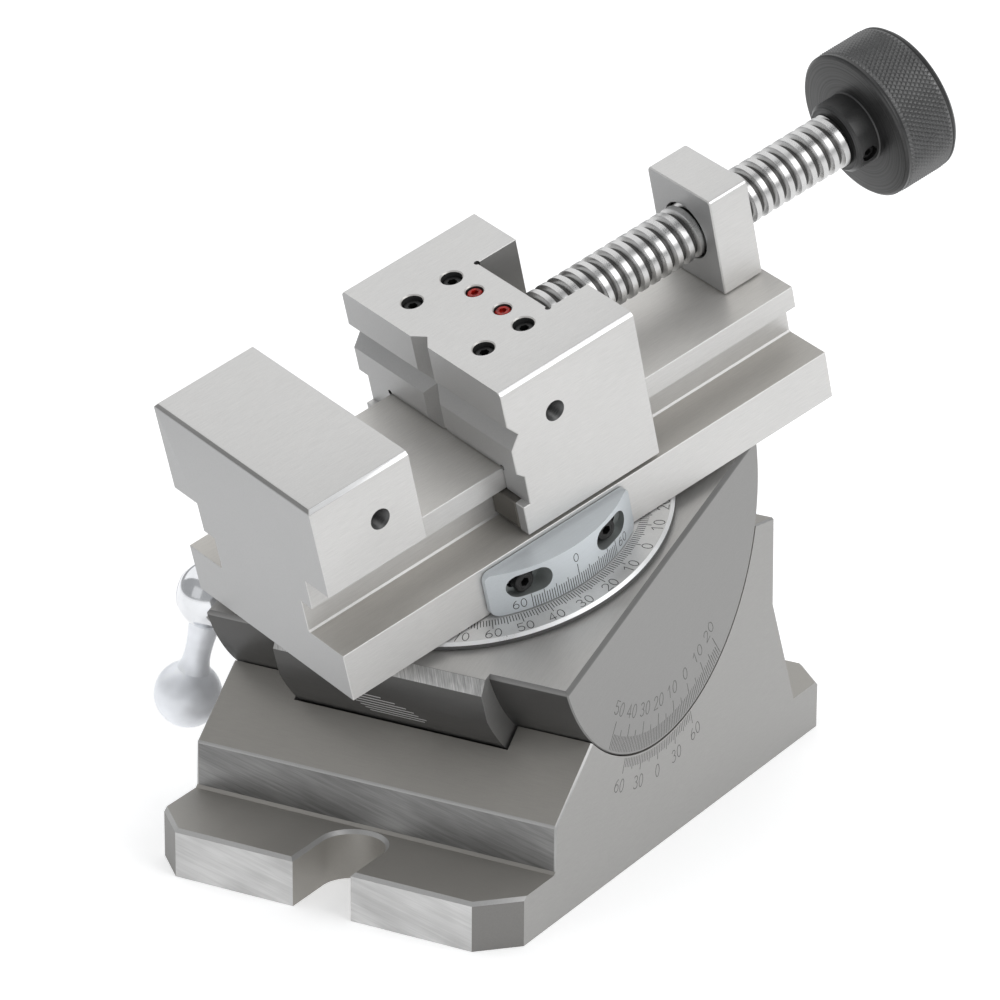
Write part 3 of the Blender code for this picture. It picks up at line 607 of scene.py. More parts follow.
def make_base():
    base = prism(base_profile(), -BASE_HALF_WIDTH, BASE_HALF_WIDTH, "X")
    dress(base, MATS["base"], MATS["base_edge_glint"], MATS["base_top"], MATS["base_milled_lit"], MATS["wall_milled_shade"],
          MATS["base_corner_shade"])
    reach = CORNER_CUT / sqrt(2)
    for side in (-1, 1):
        for end in (-1, 1):
            corner = block((-20, 0, -1), (20, 20, 90))
            turn = Matrix.Rotation(atan2(-side, end), 4, "Z") @ Matrix.Translation((0, -reach, 0))
            middle = Matrix.Translation((side * BASE_HALF_WIDTH, end * BASE_HALF_LENGTH, 0))
            cut(base, moved(corner, middle @ turn))
    for end in (-1, 1):
        edge, round_y = end * (BASE_HALF_LENGTH + 2), end * (BASE_HALF_LENGTH - SLOT_STRAIGHT)
        turn = arc((0, round_y), SLOT_HALF_WIDTH, 0, -end * pi, 32)
        outline = [(SLOT_HALF_WIDTH, edge)] + turn + [(-SLOT_HALF_WIDTH, edge)]
        cut(base, prism(outline, -1, FLANGE_HEIGHT + 1, "Z"))

    def outside_trough(a, b):
        middle = (a + b) / 2
        return hypot(middle.y - AXIS_Y, middle.z - AXIS_Z) > TROUGH_RADIUS + 0.5 and middle.z > 0.1

    def flange_rim(a, b):
        middle = (a + b) / 2
        on_top = FLANGE_HEIGHT - 0.1 < min(a.z, b.z) < ABOVE_FLANGES
        past_wall = abs(middle.y) > 1 - FRONT_WALL[0] and abs(middle.x) < BASE_HALF_WIDTH - 0.1
        return outside_trough(a, b) and on_top and past_wall

    chamfer(base, 1.0, flange_rim)
    chamfer(base, 0.5, lambda a, b: (a + b).z / 2 > ABOVE_FLANGES and outside_trough(a, b))
    cut(base, rod(GROOVE_RADIUS, (-GROOVE_HALF_WIDTH, AXIS_Y, AXIS_Z), 2 * GROOVE_HALF_WIDTH, "X", 144))
    # WALL slot: milled front wall, darker by painted shade
    repaint(base, WALL, lambda c, n: n.y < -0.9 and abs(c.y - FRONT_WALL[0]) < 0.4)
    # MILLED slot: milled ends, lighter by painted reflection
    repaint(base, MILLED, lambda c, n: abs(n.y) > 0.9 and abs(c.y) > BASE_HALF_LENGTH - 0.2)
    # OTHER slot: painted shade on the cut corners
    repaint(base, OTHER, lambda c, n: abs(n.y) > 0.6 and abs(n.x) > 0.6 and abs(c.x) > 40)
    repaint(base, BORE, lambda c, n: n.z > 0.3 or abs(n.x) < 0.5
            and hypot(c.y - AXIS_Y, c.z - AXIS_Z) < GROOVE_RADIUS + 0.2)
    repaint(base, BORE, lambda c, n: abs(c.x) < SLOT_HALF_WIDTH + 1 and c.z < FLANGE_HEIGHT)
    place(base, "base_block", WORLD, "base", "base", "base")

    strokes = []
    for i in range(-20, 21):
        turn = radians(VERNIER_STEP * i)
        outer = TROUGH_RADIUS + tick(i, 4.6, 3.6, 2.9)
        strokes.append([face_point(turn, TROUGH_RADIUS + 0.6), face_point(turn, outer)])
    for text, degrees_down in (("60", 19.6), ("30", 9.7), ("0", 0), ("30", -9.7), ("60", -19.6)):
        turn = radians(degrees_down)
        strokes += lettering(text, face_point(turn, 64.3), -turn, 3.6)
    engrave("base_vernier_marks", strokes, 0.24,
            lambda p, q, h: (BASE_HALF_WIDTH + h, p + AXIS_Y, q + AXIS_Z), MATS["mark_soft"],
            WORLD, "base", "base")


def face_point(turn, radius):
    """Point (y, z) on an end face, at an angle from straight down towards the front."""
    return (-radius * sin(turn), -radius * cos(turn))


# --- rocker and scale ring

def rocker_profile():
    span = acos(-DECK / ROCKER_RADIUS)
    return arc((0, 0), ROCKER_RADIUS, -pi / 2 - span, -pi / 2 + span, 96)


def rib_profile():
    inner = asin(RIB_FLAT / RIB_RADIUS)
    curve = arc((0, 0), RIB_RADIUS, -pi / 2 - inner, -pi / 2 + inner, 90)
    low = DECK - RIB_CHAMFER
    ends = [(-RIB_FLAT + RIB_CHAMFER, DECK), (-RIB_FLAT, low)]
    return ends + curve + [(-y, z) for y, z in ends[::-1]]


def make_rocker():
    rocker = prism(rocker_profile(), -BASE_HALF_WIDTH, BASE_HALF_WIDTH, "X")
    slots = ("rocker", "rocker_edge_shade", "rocker_painted_shade", "rocker_milled", "rocker_deck")
    mats = [MATS[slot] for slot in slots]
    dress(rocker, *mats)
    chamfer(rocker, 0.9, lambda a, b: a.z > DECK - 0.1 and b.z > DECK - 0.1)
    chamfer(rocker, 0.35, lambda a, b: min(abs(a.x), abs(b.x)) > BASE_HALF_WIDTH - 0.1)
    rib = prism(rib_profile(), -RIB_HALF_WIDTH, RIB_HALF_WIDTH, "X")
    dress(rib, *mats)
    chamfer(rib, 0.8, lambda a, b: min(abs(a.y), abs(b.y)) > 55 and min(abs(a.x), abs(b.x)) > 32)
    combine(rocker, rib, "UNION")
    repaint(rocker, MILLED, lambda c, n: abs(n.y) > 0.3 and n.z > 0.3 and abs(c.x) < RIB_HALF_WIDTH)
    # BORE slot: painted shade on the faces that look down
    repaint(rocker, BORE, lambda c, n: abs(n.x) < 0.3 and n.z < 0.3)
    repaint(rocker, WALL, lambda c, n: n.z > 0.9)
    cut(rocker, rod(12.3, (0, 0, -80), 90), rod(19, (0, 0, -80), 45), slot=BORE)
    cut(rocker, rod(5.3, (-60, CLAMP_Y, CLAMP_Z), 72, "X"), slot=BORE)
    for x, y in ring_screw_places():
        cut(rocker, rod(1.9, (x, y, DECK - 12), 14), slot=BORE)
    place(rocker, "rocker_block", ROCKER, "rocker", "rocker", "rocker")

    # The milling marks are real; these light lines on the rib's dark front are painted reflections of them.
    tool_mark_glints = []
    for index, reach in enumerate((6, 12, 15, 17, 18, 18, 19, 17)):
        down, left = radians(76 - 1.35 * index), -13.5 + 0.9 * index
        tool_mark_glints.append([(left, down), (left + reach, down)])
    engrave("rib_tool_mark_glints", tool_mark_glints, 0.007, lambda p, q, h: (p, *face_point(q, RIB_RADIUS + h)),
            MATS["tool_mark_glint"], ROCKER, "rocker", "rocker")

    strokes = []
    for degrees_front in range(-20, 51):
        turn = radians(degrees_front)
        inner = tick(degrees_front, 47.6, 49.4, 51.0)
        strokes.append([face_point(turn, inner), face_point(turn, ROCKER_RADIUS - 0.9)])
        if degrees_front % 10 == 0:
            strokes += lettering(str(abs(degrees_front)), face_point(turn, 43.9), -turn, 3.7)
    engrave("rocker_scale_marks", strokes, 0.24, lambda p, q, h: (BASE_HALF_WIDTH + h, p, q),
            MATS["mark_soft"], ROCKER, "rocker", "rocker")


def ring_screw_places():
    angles = [radians(90 + 120 * i) + SWIVEL for i in range(3)]
    return [(37 * cos(a), 37 * sin(a)) for a in angles]


def make_ring():
    bottom, top = DECK + 0.3, DECK + RING_TOP
    profile = [(RING_BORE, top - 0.3), (RING_BORE + 0.3, top), (RING_RADIUS - 0.9, top),
               (RING_RADIUS, top - 0.7), (RING_RADIUS, bottom + 0.3), (RING_RADIUS - 0.3, bottom),
               (RING_BORE, bottom), (RING_BORE, top - 0.3)]
    ring = lathe(profile, sides=180)
    dress(ring, MATS["ring"], MATS["ring_edge_glint"], MATS["bore"], MATS["ring_wall_shade"])
    # EDGE slot: painted highlight on the rim chamfer
    repaint(ring, EDGE, lambda c, n: hypot(c.x, c.y) > RING_RADIUS - 0.9 and n.z > 0.3)
    # MILLED slot: the outer wall, painted dark as a reflection of the deck
    repaint(ring, MILLED, lambda c, n: hypot(c.x, c.y) > RING_RADIUS - 0.9)
    for x, y in ring_screw_places():
        cut(ring, rod(2.0, (x, y, DECK), RING_TOP + 0.1, end_radius=3.9), slot=BORE)
    place(ring, "graduated_ring", ROCKER, "rocker", "ring", "scale_ring")
    for index, (x, y) in enumerate(ring_screw_places()):
        profile = [(0, top - 0.3), (3.0, top - 0.3), (3.2, top - 0.5), (1.7, top - 1.9),
                   (1.6, DECK - 11), (0, DECK - 11)]
        place_screw(lathe(profile, (x, y, 0), sides=32), rod(1.15, (x, y, top - 1.5), 3, sides=6),
                    f"ring_screw_cap_{index + 1}", ROCKER, "rocker", f"ring_screw_{index + 1}")

    strokes = []
    for degrees_round in range(-179, 181):
        turn = radians(degrees_round)
        outer = tick(degrees_round, 48.3, 47.6, 47.0)
        ray = Vector((cos(turn - RING_ZERO), -sin(turn - RING_ZERO)))
        strokes.append([ray * 44.8, ray * outer])
        if degrees_round % 10 == 0:
            strokes += lettering(str(abs(degrees_round)), ray * 50.3, pi / 2 - turn + RING_ZERO, 3.1)
    strokes = [[tuple(p) if isinstance(p, Vector) else p for p in stroke] for stroke in strokes]
    engrave("ring_scale_marks", strokes, 0.22, lambda p, q, h: (p, q, top + h), MATS["mark"],
            ROCKER, "rocker", "ring")


# --- rocker clamp

def make_clamp():
    half, hub_radius = 7.2, 9.6
    reach = asin(half / hub_radius)
    hub_profile = [(0, half + 0.3), (6.1, half + 0.3), (6.4, half)]
    hub_profile += arc((0, 0), hub_radius, reach, -reach, 30)
    hub_profile += [(6.4, -half), (6.1, -half - 0.3), (5.0, -half - 0.3), (5.0, -half + 4), (0, -half + 4)]
    hub = lathe(hub_profile, (0, 0, 0), "X", 64)
    join_turn = 2.62
    turns = [join_turn * i / 40 for i in range(41)]
    ball = [(BALL_RADIUS * sin(t), LEVER_REACH + BALL_RADIUS * cos(t)) for t in turns]
    neck = [(4.05, 22.0), (3.75, 20.0), (3.65, 18.0), (3.75, 15.5), (4.0, 12.5), (4.35, 9.5),
            (4.8, 6), (4.8, 2), (0, 2)]
    handle = lathe(ball + neck, sides=56)
    direction = Vector((-sin(LEVER_SLANT), 0, -cos(LEVER_SLANT)))
    moved(handle, Vector((0, 0, 1)).rotation_difference(direction).to_matrix().to_4x4())
    mats = MATS["chrome"], MATS["polished"]
    repaint(dress(hub, *mats), EDGE, lambda c, n: True)
    lever = combine(hub, dress(handle, *mats), "UNION")
    lever_frame = ROCKER @ millimetres(LEVER_X, CLAMP_Y, CLAMP_Z) @ Matrix.Rotation(-TILT, 4, "X")
    place(lever, "clamp_lever_chrome", lever_frame, "lever", "chrome", "clamp_lever")

    washer = lathe([(5.3, 0), (7.2, 0), (7.5, 0.3), (7.5, 0.9), (7.2, 1.2), (5.3, 1.2), (5.3, 0)],
                   (-BASE_HALF_WIDTH - 1.5, CLAMP_Y, CLAMP_Z), "X", 48)
    place(dress(washer, MATS["screw"]), "lever_washer_black", ROCKER, "rocker", "screw", "lever_washer")


# --- vise body and vernier plate

def channel_profile(side):
    reach = HALF_WIDTH + 1
    foot = 0.5
    points = [(reach, FLANGE_TOP), (reach, FIXED_JAW_BOTTOM), (RAIL_HALF, FIXED_JAW_BOTTOM)]
    points += [(RAIL_HALF, RAIL_BOTTOM), (NECK_HALF, RAIL_BOTTOM)]
    points += [(NECK_HALF, FLANGE_TOP + foot), (NECK_HALF + foot, FLANGE_TOP)]
    return [(side * x, z) for x, z in points]


def tapped_hole(x, y, z, length=14):
    """Cutter for a tapped side hole: countersink and ring-shaped thread grooves."""
    side = 1 if x > 0 else -1
    depth = 0.35
    profile = [(0, -1.0), (TAPPED_RADIUS + 0.9, -1.0), (TAPPED_RADIUS + 0.35, 0.0)]
    while depth < length:
        profile += [(TAPPED_RADIUS, depth), (TAPPED_RADIUS - 0.4, depth + 0.4)]
        depth += 0.8
    profile += [(TAPPED_RADIUS - 0.4, length), (0, length + 1.2)]
    cutter = lathe([(r, -d * side) for r, d in profile], sides=36)
    return moved(cutter, Matrix.Translation((x, y, z)) @ along("X"))


def long_top_edge(a, b):
    """Top edges that run along the vise at the outer sides."""
    return a.z > JAW_TOP - 0.1 and b.z > JAW_TOP - 0.1 and abs(a.x - b.x) < 0.01


VISE_SLOTS = ("vise", "vise_edge_glint", "bore", "vise_bed", "vise_flange_shade", "vise_painted_shade",
              "vise_end_shade")


def make_body():
    body = block((-HALF_WIDTH, BED_FRONT, FLANGE_BOTTOM), (HALF_WIDTH, BED_REAR, JAW_TOP))
    dress(body, *[MATS[m] for m in VISE_SLOTS])
    reach = HALF_WIDTH + 1
    cut(body, block((-reach, FIXED_JAW_REAR, RAIL_TOP), (reach, BED_REAR + 1, JAW_TOP + 1)), slot=MILLED)
    for side in (-1, 1):
        cut(body, prism(channel_profile(side), BED_FRONT - 1, BED_REAR + 1, "Y"))
    # the long top chamfers take the EDGE slot, whose near-white colour is a painted highlight
    chamfer(body, 1.15, long_top_edge)
    # the front top chamfer takes the OTHER slot, painted shade
    chamfer(body, 1.0, lambda a, b: (a + b).z / 2 > JAW_TOP - 0.1
            and (a + b).y / 2 < BED_FRONT + 0.1, slot=OTHER)
    chamfer(body, 0.25, slot=PLAIN)
    repaint(body, MILLED, lambda c, n: n.z > 0.9 and c.z < RAIL_TOP + 0.1)
    # END slot: painted shade on the faces that look along the vise
    repaint(body, END, lambda c, n: abs(n.y) > 0.9)
    # the flange tops under the rails move to the WALL slot, painted shade
    for poly in body.data.polygons:
        if poly.material_index == MILLED and poly.center.z < FLANGE_TOP + 0.1:
            poly.material_index = WALL
    cut(body, rod(8.3, (0, 0, -1), 24), rod(12.3, (0, 0, -1), 1.6), slot=BORE)
    for side in (-1, 1):
        cut(body, tapped_hole(side * HALF_WIDTH, FIXED_TAPPED_Y, TAPPED_Z), slot=BORE)
        cut(body, rod(2.3, (25, side * VERNIER_SCREW_Y, VERNIER_SCREW_Z), 12, "X", 24), slot=BORE)
        x, y = side * NUT_SCREW_X, (NUT_FRONT + NUT_REAR) / 2
        cut(body, rod(2.8, (x, y, 0), 40), rod(4.8, (x, y, 0), 9), slot=BORE)
    place(body, "vise_body_ground", VISE, "vise", "vise", "vise_body")


def slot_tool(y, half_length, half_width, x_low, x_high):
    run = half_length - half_width
    points = arc((y + run, VERNIER_SCREW_Z), half_width, -pi / 2, pi / 2, 20)
    points += arc((y - run, VERNIER_SCREW_Z), half_width, pi / 2, 3 * pi / 2, 20)
    return prism(points, x_low, x_high, "X")


def make_vernier():
    swing = asin(VERNIER_END / VERNIER_RADIUS)
    chord = HALF_WIDTH + 0.3
    face = arc((0, 0), VERNIER_RADIUS, -swing, swing, 60)
    plate = prism([(chord, -VERNIER_END)] + face + [(chord, VERNIER_END)], RING_TOP + 0.3, VERNIER_TOP, "Z")
    dress(plate, MATS["vernier"], MATS["vernier_edge_shade"], MATS["bore"])
    edge_x = VERNIER_RADIUS * cos(swing) + 0.5
    drop = (VERNIER_TOP - VERNIER_FACET) / (VERNIER_RADIUS - edge_x)
    facet = [(edge_x - 2, VERNIER_TOP + 2 * drop), (VERNIER_RADIUS + 3, VERNIER_TOP + 2 * drop),
             (VERNIER_RADIUS + 3, VERNIER_FACET - 3 * drop)]
    cut(plate, prism(facet, -40, 40, "Y"))
    for side in (-1, 1):
        for low, high, start in ((RING_TOP + 0.3, -1, -pi / 2), (VERNIER_TOP, 1, 0)):
            centre = (side * (VERNIER_END - VERNIER_CORNER), low - high * VERNIER_CORNER)
            far = (side * (VERNIER_END + 2), low + 2 * high)
            turns = arc(centre, VERNIER_CORNER, start, start + pi / 2, 12)
            curve = [(centre[0] + side * (y - centre[0]), z) for y, z in turns]
            curve.sort(key=lambda p: -side * p[0])
            outline = [(far[0], curve[0][1])] + curve + [(curve[-1][0], far[1]), far]
            cut(plate, prism(outline, 34, 50, "X"))
    chamfer(plate, 0.35, lambda a, b: min(a.x, b.x) > 36 and (a.z + b.z) / 2 > RING_TOP + 0.6, limit=35)
    for side, label in ((-1, "left"), (1, "right")):
        y = side * VERNIER_SCREW_Y
        # the slot walls take the EDGE slot, painted shade
        cut(plate, slot_tool(y, 6.3, 3.6, VERNIER_FLOOR, 50), slot=EDGE)
        cut(plate, slot_tool(y, 4.6, 2.3, 30, 40), slot=BORE)
        head_x = VERNIER_FLOOR + 0.3
        head = [(0, -11), (2, -11), (2, 0), (3.0, 0), (3.0, 2.8), (2.7, 3.1), (2.0, 3.1),
                (1.9, 3.0), (0, 3.0)]
        at = (head_x, y - 0.8, VERNIER_SCREW_Z)
        place_screw(lathe(head[::-1], at, "X", 40), rod(1.4, (at[0] + 1, *at[1:]), 5, "X", 6),
                    f"vernier_cap_screw_{label}", VISE, "vise", f"vernier_screw_{label}")
    place(plate, "vernier_plate_satin", VISE, "vise", "vernier", "vernier_plate", smooth=24)

    strokes = []
    low = RING_TOP + 0.5
    for i in range(-20, 21):
        p = VERNIER_RADIUS * radians(VERNIER_STEP * i)
        strokes.append([(p, low), (p, 9.6 if i == 0 else 7.2 if i % 5 == 0 else 6.2)])
    strokes += lettering("0", (0, 11.9), 0, 2.6)
    for side in (-1, 1):
        strokes += lettering("60", (side * VERNIER_RADIUS * radians(23.6), 5.2), 0, 2.7)

    def on_face(p, q, h):
        turn = p / VERNIER_RADIUS
        return ((VERNIER_RADIUS + h) * cos(turn), (VERNIER_RADIUS + h) * sin(turn), q)

    engrave("vernier_plate_marks", strokes, 0.2, on_face, MATS["mark"], VISE, "vise", "vernier")


# --- movable jaw and nut block

def jaw_profile():
    rail, keeper = RAIL_HALF + 0.3, KEEPER_OUTER + 0.3
    half = [(rail, RAIL_TOP + 0.3), (rail, RAIL_BOTTOM), (keeper, RAIL_BOTTOM),
            (keeper, SKIRT_BOTTOM), (HALF_WIDTH, SKIRT_BOTTOM), (HALF_WIDTH, JAW_TOP)]
    return half + [(-x, z) for x, z in reversed(half)]


def make_jaw():
    jaw = prism(jaw_profile(), JAW_FRONT, JAW_REAR, "Y")
    dress(jaw, *[MATS[m] for m in VISE_SLOTS])
    reach = HALF_WIDTH + 1
    groove = [(JAW_FRONT - 1, 56.9), (JAW_FRONT + 3, 51.6), (JAW_FRONT - 1, 46.3)]
    cut(jaw, prism(groove, -reach, reach, "X"))
    groove = [(-5.1, JAW_FRONT - 1), (5.1, JAW_FRONT - 1), (0, JAW_FRONT + 2.8)]
    cut(jaw, prism(groove, 30, JAW_TOP + 1, "Z"))
    ledge = [(JAW_FRONT - 1, 40.9), (JAW_FRONT + 2.2, 37.7), (JAW_FRONT + 2.2, RAIL_BOTTOM),
             (JAW_FRONT - 1, RAIL_BOTTOM)]
    cut(jaw, prism(ledge, -reach, reach, "X"))
    cut(jaw, block((-NOTCH_HALF, NOTCH_FRONT, 10), (NOTCH_HALF, JAW_REAR + 1, 70)))
    # END slot: painted shade on the jaw's front faces
    repaint(jaw, END, lambda c, n: n.y < -0.3)
    # painted shade (OTHER slot) for the jaw's lower front beside the rail, whose faces already hold END,
    # and for the walls of the notch
    repaint(jaw, OTHER, lambda c, n: n.y < -0.3 and c.z < RAIL_TOP and c.x > 20)
    repaint(jaw, OTHER, lambda c, n: abs(n.x) > 0.9 and abs(c.x) < NOTCH_HALF + 0.1
            and c.y > NOTCH_FRONT)
    chamfer(jaw, 1.15, lambda a, b: long_top_edge(a, b) and abs(a.x) > 34)
    chamfer(jaw, 0.2, lambda a, b: max(a.y, b.y) > JAW_FRONT + 3.2
            or min(abs(a.x), abs(b.x)) > 6, slot=PLAIN)
    for side in (-1, 1):
        corner = (side * (RAIL_HALF + 0.3), JAW_FRONT - 1, RAIL_TOP + 0.3)
        cut(jaw, rod(0.8, corner, JAW_REAR - JAW_FRONT + 2, "Y", 20), slot=BORE)
        x = side * NOTCH_HALF
        relief = block((x - 0.2, NOTCH_FRONT - 0.8, 25), (x + 0.2, NOTCH_FRONT + 0.8, 70))
        cut(jaw, relief, rod(0.85, (x, NOTCH_FRONT, 25), 50, sides=20), slot=BORE)
        cut(jaw, tapped_hole(side * HALF_WIDTH, MOVABLE_TAPPED_Y, TAPPED_Z), slot=BORE)
    cut(jaw, rod(8.4, (0, 10.9, SPINDLE_Z), 20, "Y"), slot=BORE)
    for name, x, y, radius, bottom in jaw_screw_places():
        sink = rod(radius, (x, y, JAW_TOP - 0.35), 1, end_radius=radius + 0.9, sides=64)
        cut(jaw, rod(radius, (x, y, bottom), 40, sides=64), slot=BORE)
        cut(jaw, sink, slot=MILLED)
        seal = name.startswith("jaw_pin")
        top, outer = JAW_TOP - (0.55 if seal else 1.5), radius - 0.3
        bore = outer * 0.52
        profile = [(0, bottom + 0.3), (outer, bottom + 0.3), (outer, top - 0.4),
                   (outer - 0.4, top), (0, top)]
        screw = dress(lathe(profile, (x, y, 0), sides=36), MATS["seal" if seal else "screw"])
        cut(screw, rod(bore, (x, y, top - (0.9 if seal else 2.2)), 4, sides=6))
        place(screw, f"{name}_detailed", VISE, "jaw", "sealed" if seal else "screw", name)
    for side in (-1, 1):
        for y in KEEPER_SCREW_YS:
            cut(jaw, rod(1.8, (side * KEEPER_SCREW_X, y, 20), 17.5, sides=24), slot=BORE)
    place(jaw, "movable_jaw_ground", VISE, "jaw", "vise", "movable_jaw")


def jaw_screw_places():
    """(name, x, y, hole radius, hole bottom) of the screws in the jaw's top."""
    sides = (("left", -15.7), ("right", 15.7))
    rows = (("front", 2.4), ("rear", 15.9))
    places = [(f"jaw_screw_{side}_{row}", x, y, 3.0, 53) for side, x in sides for row, y in rows]
    return places + [(f"jaw_pin_{side}", x * 0.39, 16.3, 2.5, 43) for side, x in sides]


def make_keepers():
    bottom, top = SKIRT_BOTTOM + 0.3, RAIL_BOTTOM - 0.3
    for side, label in ((-1, "left"), (1, "right")):
        xs = sorted((side * (NECK_HALF + 0.3), side * KEEPER_OUTER))
        keeper = block((xs[0], JAW_FRONT, bottom), (xs[1], JAW_REAR, top))
        chamfer(dress(keeper, MATS["keeper"], MATS["vise_edge_glint"], MATS["bore"]), 0.25, slot=PLAIN)
        for index, y in enumerate(KEEPER_SCREW_YS):
            x = side * KEEPER_SCREW_X
            cut(keeper, rod(1.8, (x, y, 10), 30, sides=24),
                rod(2.8, (x, y, 10), bottom - 7, sides=32), slot=BORE)
            profile = [(0, 36), (1.5, 36), (1.5, 22.2), (2.5, 22.2), (2.5, bottom + 0.4),
                       (2.3, bottom + 0.2), (0, bottom + 0.2)]
            tag = f"{label}_{index + 1}"
            place_screw(lathe(profile, (x, y, 0), sides=28), rod(1.2, (x, y, 15), 6, sides=6),
                        f"keeper_cap_screw_{tag}", VISE, "jaw", f"keeper_screw_{tag}")
        place(keeper, f"jaw_keeper_bar_{label}", VISE, "jaw", "vise", f"jaw_keeper_{label}")


def make_nut_block():
    nut = block((-NUT_HALF, NUT_FRONT, RAIL_TOP + 0.3), (NUT_HALF, NUT_REAR, JAW_TOP))
    dress(nut, *[MATS[m] for m in VISE_SLOTS])
    chamfer(nut, 0.9, long_top_edge)
    chamfer(nut, 0.35, slot=PLAIN)
    cut(nut, rod(8.4, (0, NUT_FRONT - 1, SPINDLE_Z), 20, "Y", 64), slot=BORE)
    for end, y in ((1, NUT_FRONT), (-1, NUT_REAR)):
        profile = [(0, -0.6 * end), (9.2, -0.6 * end), (8.4, 0.4 * end), (0, 0.4 * end)]
        ring = lathe(profile, (0, y, SPINDLE_Z), "Y")
        cut(nut, ring, slot=BORE)
    # END slot: painted shade on the nut block's ends
    repaint(nut, END, lambda c, n: abs(n.y) > 0.9)
    for side, label in ((-1, "left"), (1, "right")):
        x, y = side * NUT_SCREW_X, (NUT_FRONT + NUT_REAR) / 2
        cut(nut, rod(2.8, (x, y, 30), 12, sides=32), slot=BORE)
        profile = [(0, 41.5), (2.4, 41.5), (2.4, 8.6), (4.3, 8.6), (4.3, 4.0), (4.0, 3.6), (0, 3.6)]
        place_screw(lathe(profile, (x, y, 0), sides=36), rod(2.2, (x, y, 0), 6, sides=6),
                    f"nut_cap_screw_{label}", VISE, "vise", f"nut_screw_{label}")
    place(nut, "nut_block_ground", VISE, "vise", "vise", "nut_block")


# --- spindle and knob

# the second slot holds painted shade for the thread's roots
ROOT = 1                           # the thread's second material slot


def make_spindle():
    """Trapezoidal right-hand thread, swept as a helix and trimmed to length."""
    low, high, sides = 19.2, HUB_FACE - 0.3, 72
    crest, flank = 1.70, 0.50
    shoulder = SCREW_RADIUS - 0.16
    tooth = [(0.0, ROOT_RADIUS), (0.10, ROOT_RADIUS), (flank, shoulder),
             (flank + 0.14, SCREW_RADIUS), (flank + 0.14 + crest, SCREW_RADIUS),
             (flank + 0.28 + crest, shoulder), (2 * flank + 0.28 + crest, ROOT_RADIUS),
             (3.5, ROOT_RADIUS - 0.05)]
    bm = bmesh.new()
    turns = int((high - low) / PITCH) + 3
    rows = []
    for i in range(sides):
        t = 2 * pi * i / sides
        start = low - PITCH + PITCH * i / sides
        rows.append([bm.verts.new((r * sin(t), start + PITCH * k + d, r * cos(t)))
                     for k in range(turns) for d, r in tooth])
    step = len(tooth)
    # root faces take the ROOT slot, painted shade
    root_bands = (0, step - 2, step - 1)
    for i in range(sides):
        near, far = rows[i], rows[(i + 1) % sides]
        shift = step if i + 1 == sides else 0
        for k in range(len(near) - 1 - shift):
            face = bm.faces.new((near[k], near[k + 1], far[k + 1 + shift], far[k + shift]))
            face.material_index = ROOT if k % step in root_bands else PLAIN
    for y, normal in ((low, -1), (high, 1)):
        geometry = bm.verts[:] + bm.edges[:] + bm.faces[:]
        bmesh.ops.bisect_plane(bm, geom=geometry, plane_co=(0, y, 0), plane_no=(0, normal, 0),
                               clear_outer=True)
        rim = [e for e in bm.edges if e.is_boundary and all(abs(v.co.y - y) < 0.001 for v in e.verts)]
        bmesh.ops.contextual_create(bm, geom=rim)
    thread = dress(shape(bm), MATS["spindle"], MATS["thread_root_shade"])
    stub = lathe([(0, 11.4), (8, 11.4), (8, 13.4), (3.3, 13.4), (3.3, 19.4), (0, 19.4)],
                 (0, 0, 0), "Y", 48)
    tail = lathe([(0, 135), (6, 135), (6, 158), (0, 158)], (0, 0, 0), "Y", 48)
    place(join("thread", [thread, stub, tail]), "spindle_thread", SPINDLE, "screw", "spindle", "spindle")


def knurl(low, high, radius, depth, count, rows):
    """Diamond knurl as a band of small pyramids between two plain rims."""
    bm = bmesh.new()
    grid = []
    for k in range(rows + 1):
        y = low + (high - low) * k / rows
        row = []
        for i in range(2 * count):
            t = pi * i / count
            peak = (i + k) % 2 == 1 and 0 < k < rows
            r = radius if peak else radius - depth
            row.append(bm.verts.new((r * sin(t), y, r * cos(t))))
        grid.append(row)
    for k in range(1, rows):
        for i in range(2 * count):
            if (i + k) % 2 == 1:
                around = [grid[k][i - 1], grid[k - 1][i], grid[k][(i + 1) % (2 * count)],
                          grid[k + 1][i]]
                for a, b in zip(around, around[1:] + around[:1]):
                    bm.faces.new((grid[k][i], a, b))
    for k, inner in ((0, 1), (rows, rows - 1)):
        for i in range(2 * count):
            if (i + k) % 2 == 1:
                bm.faces.new((grid[k][i - 1], grid[k][i], grid[inner][i]))
                bm.faces.new((grid[k][i], grid[k][(i + 1) % (2 * count)], grid[inner][i]))
    return bm, grid


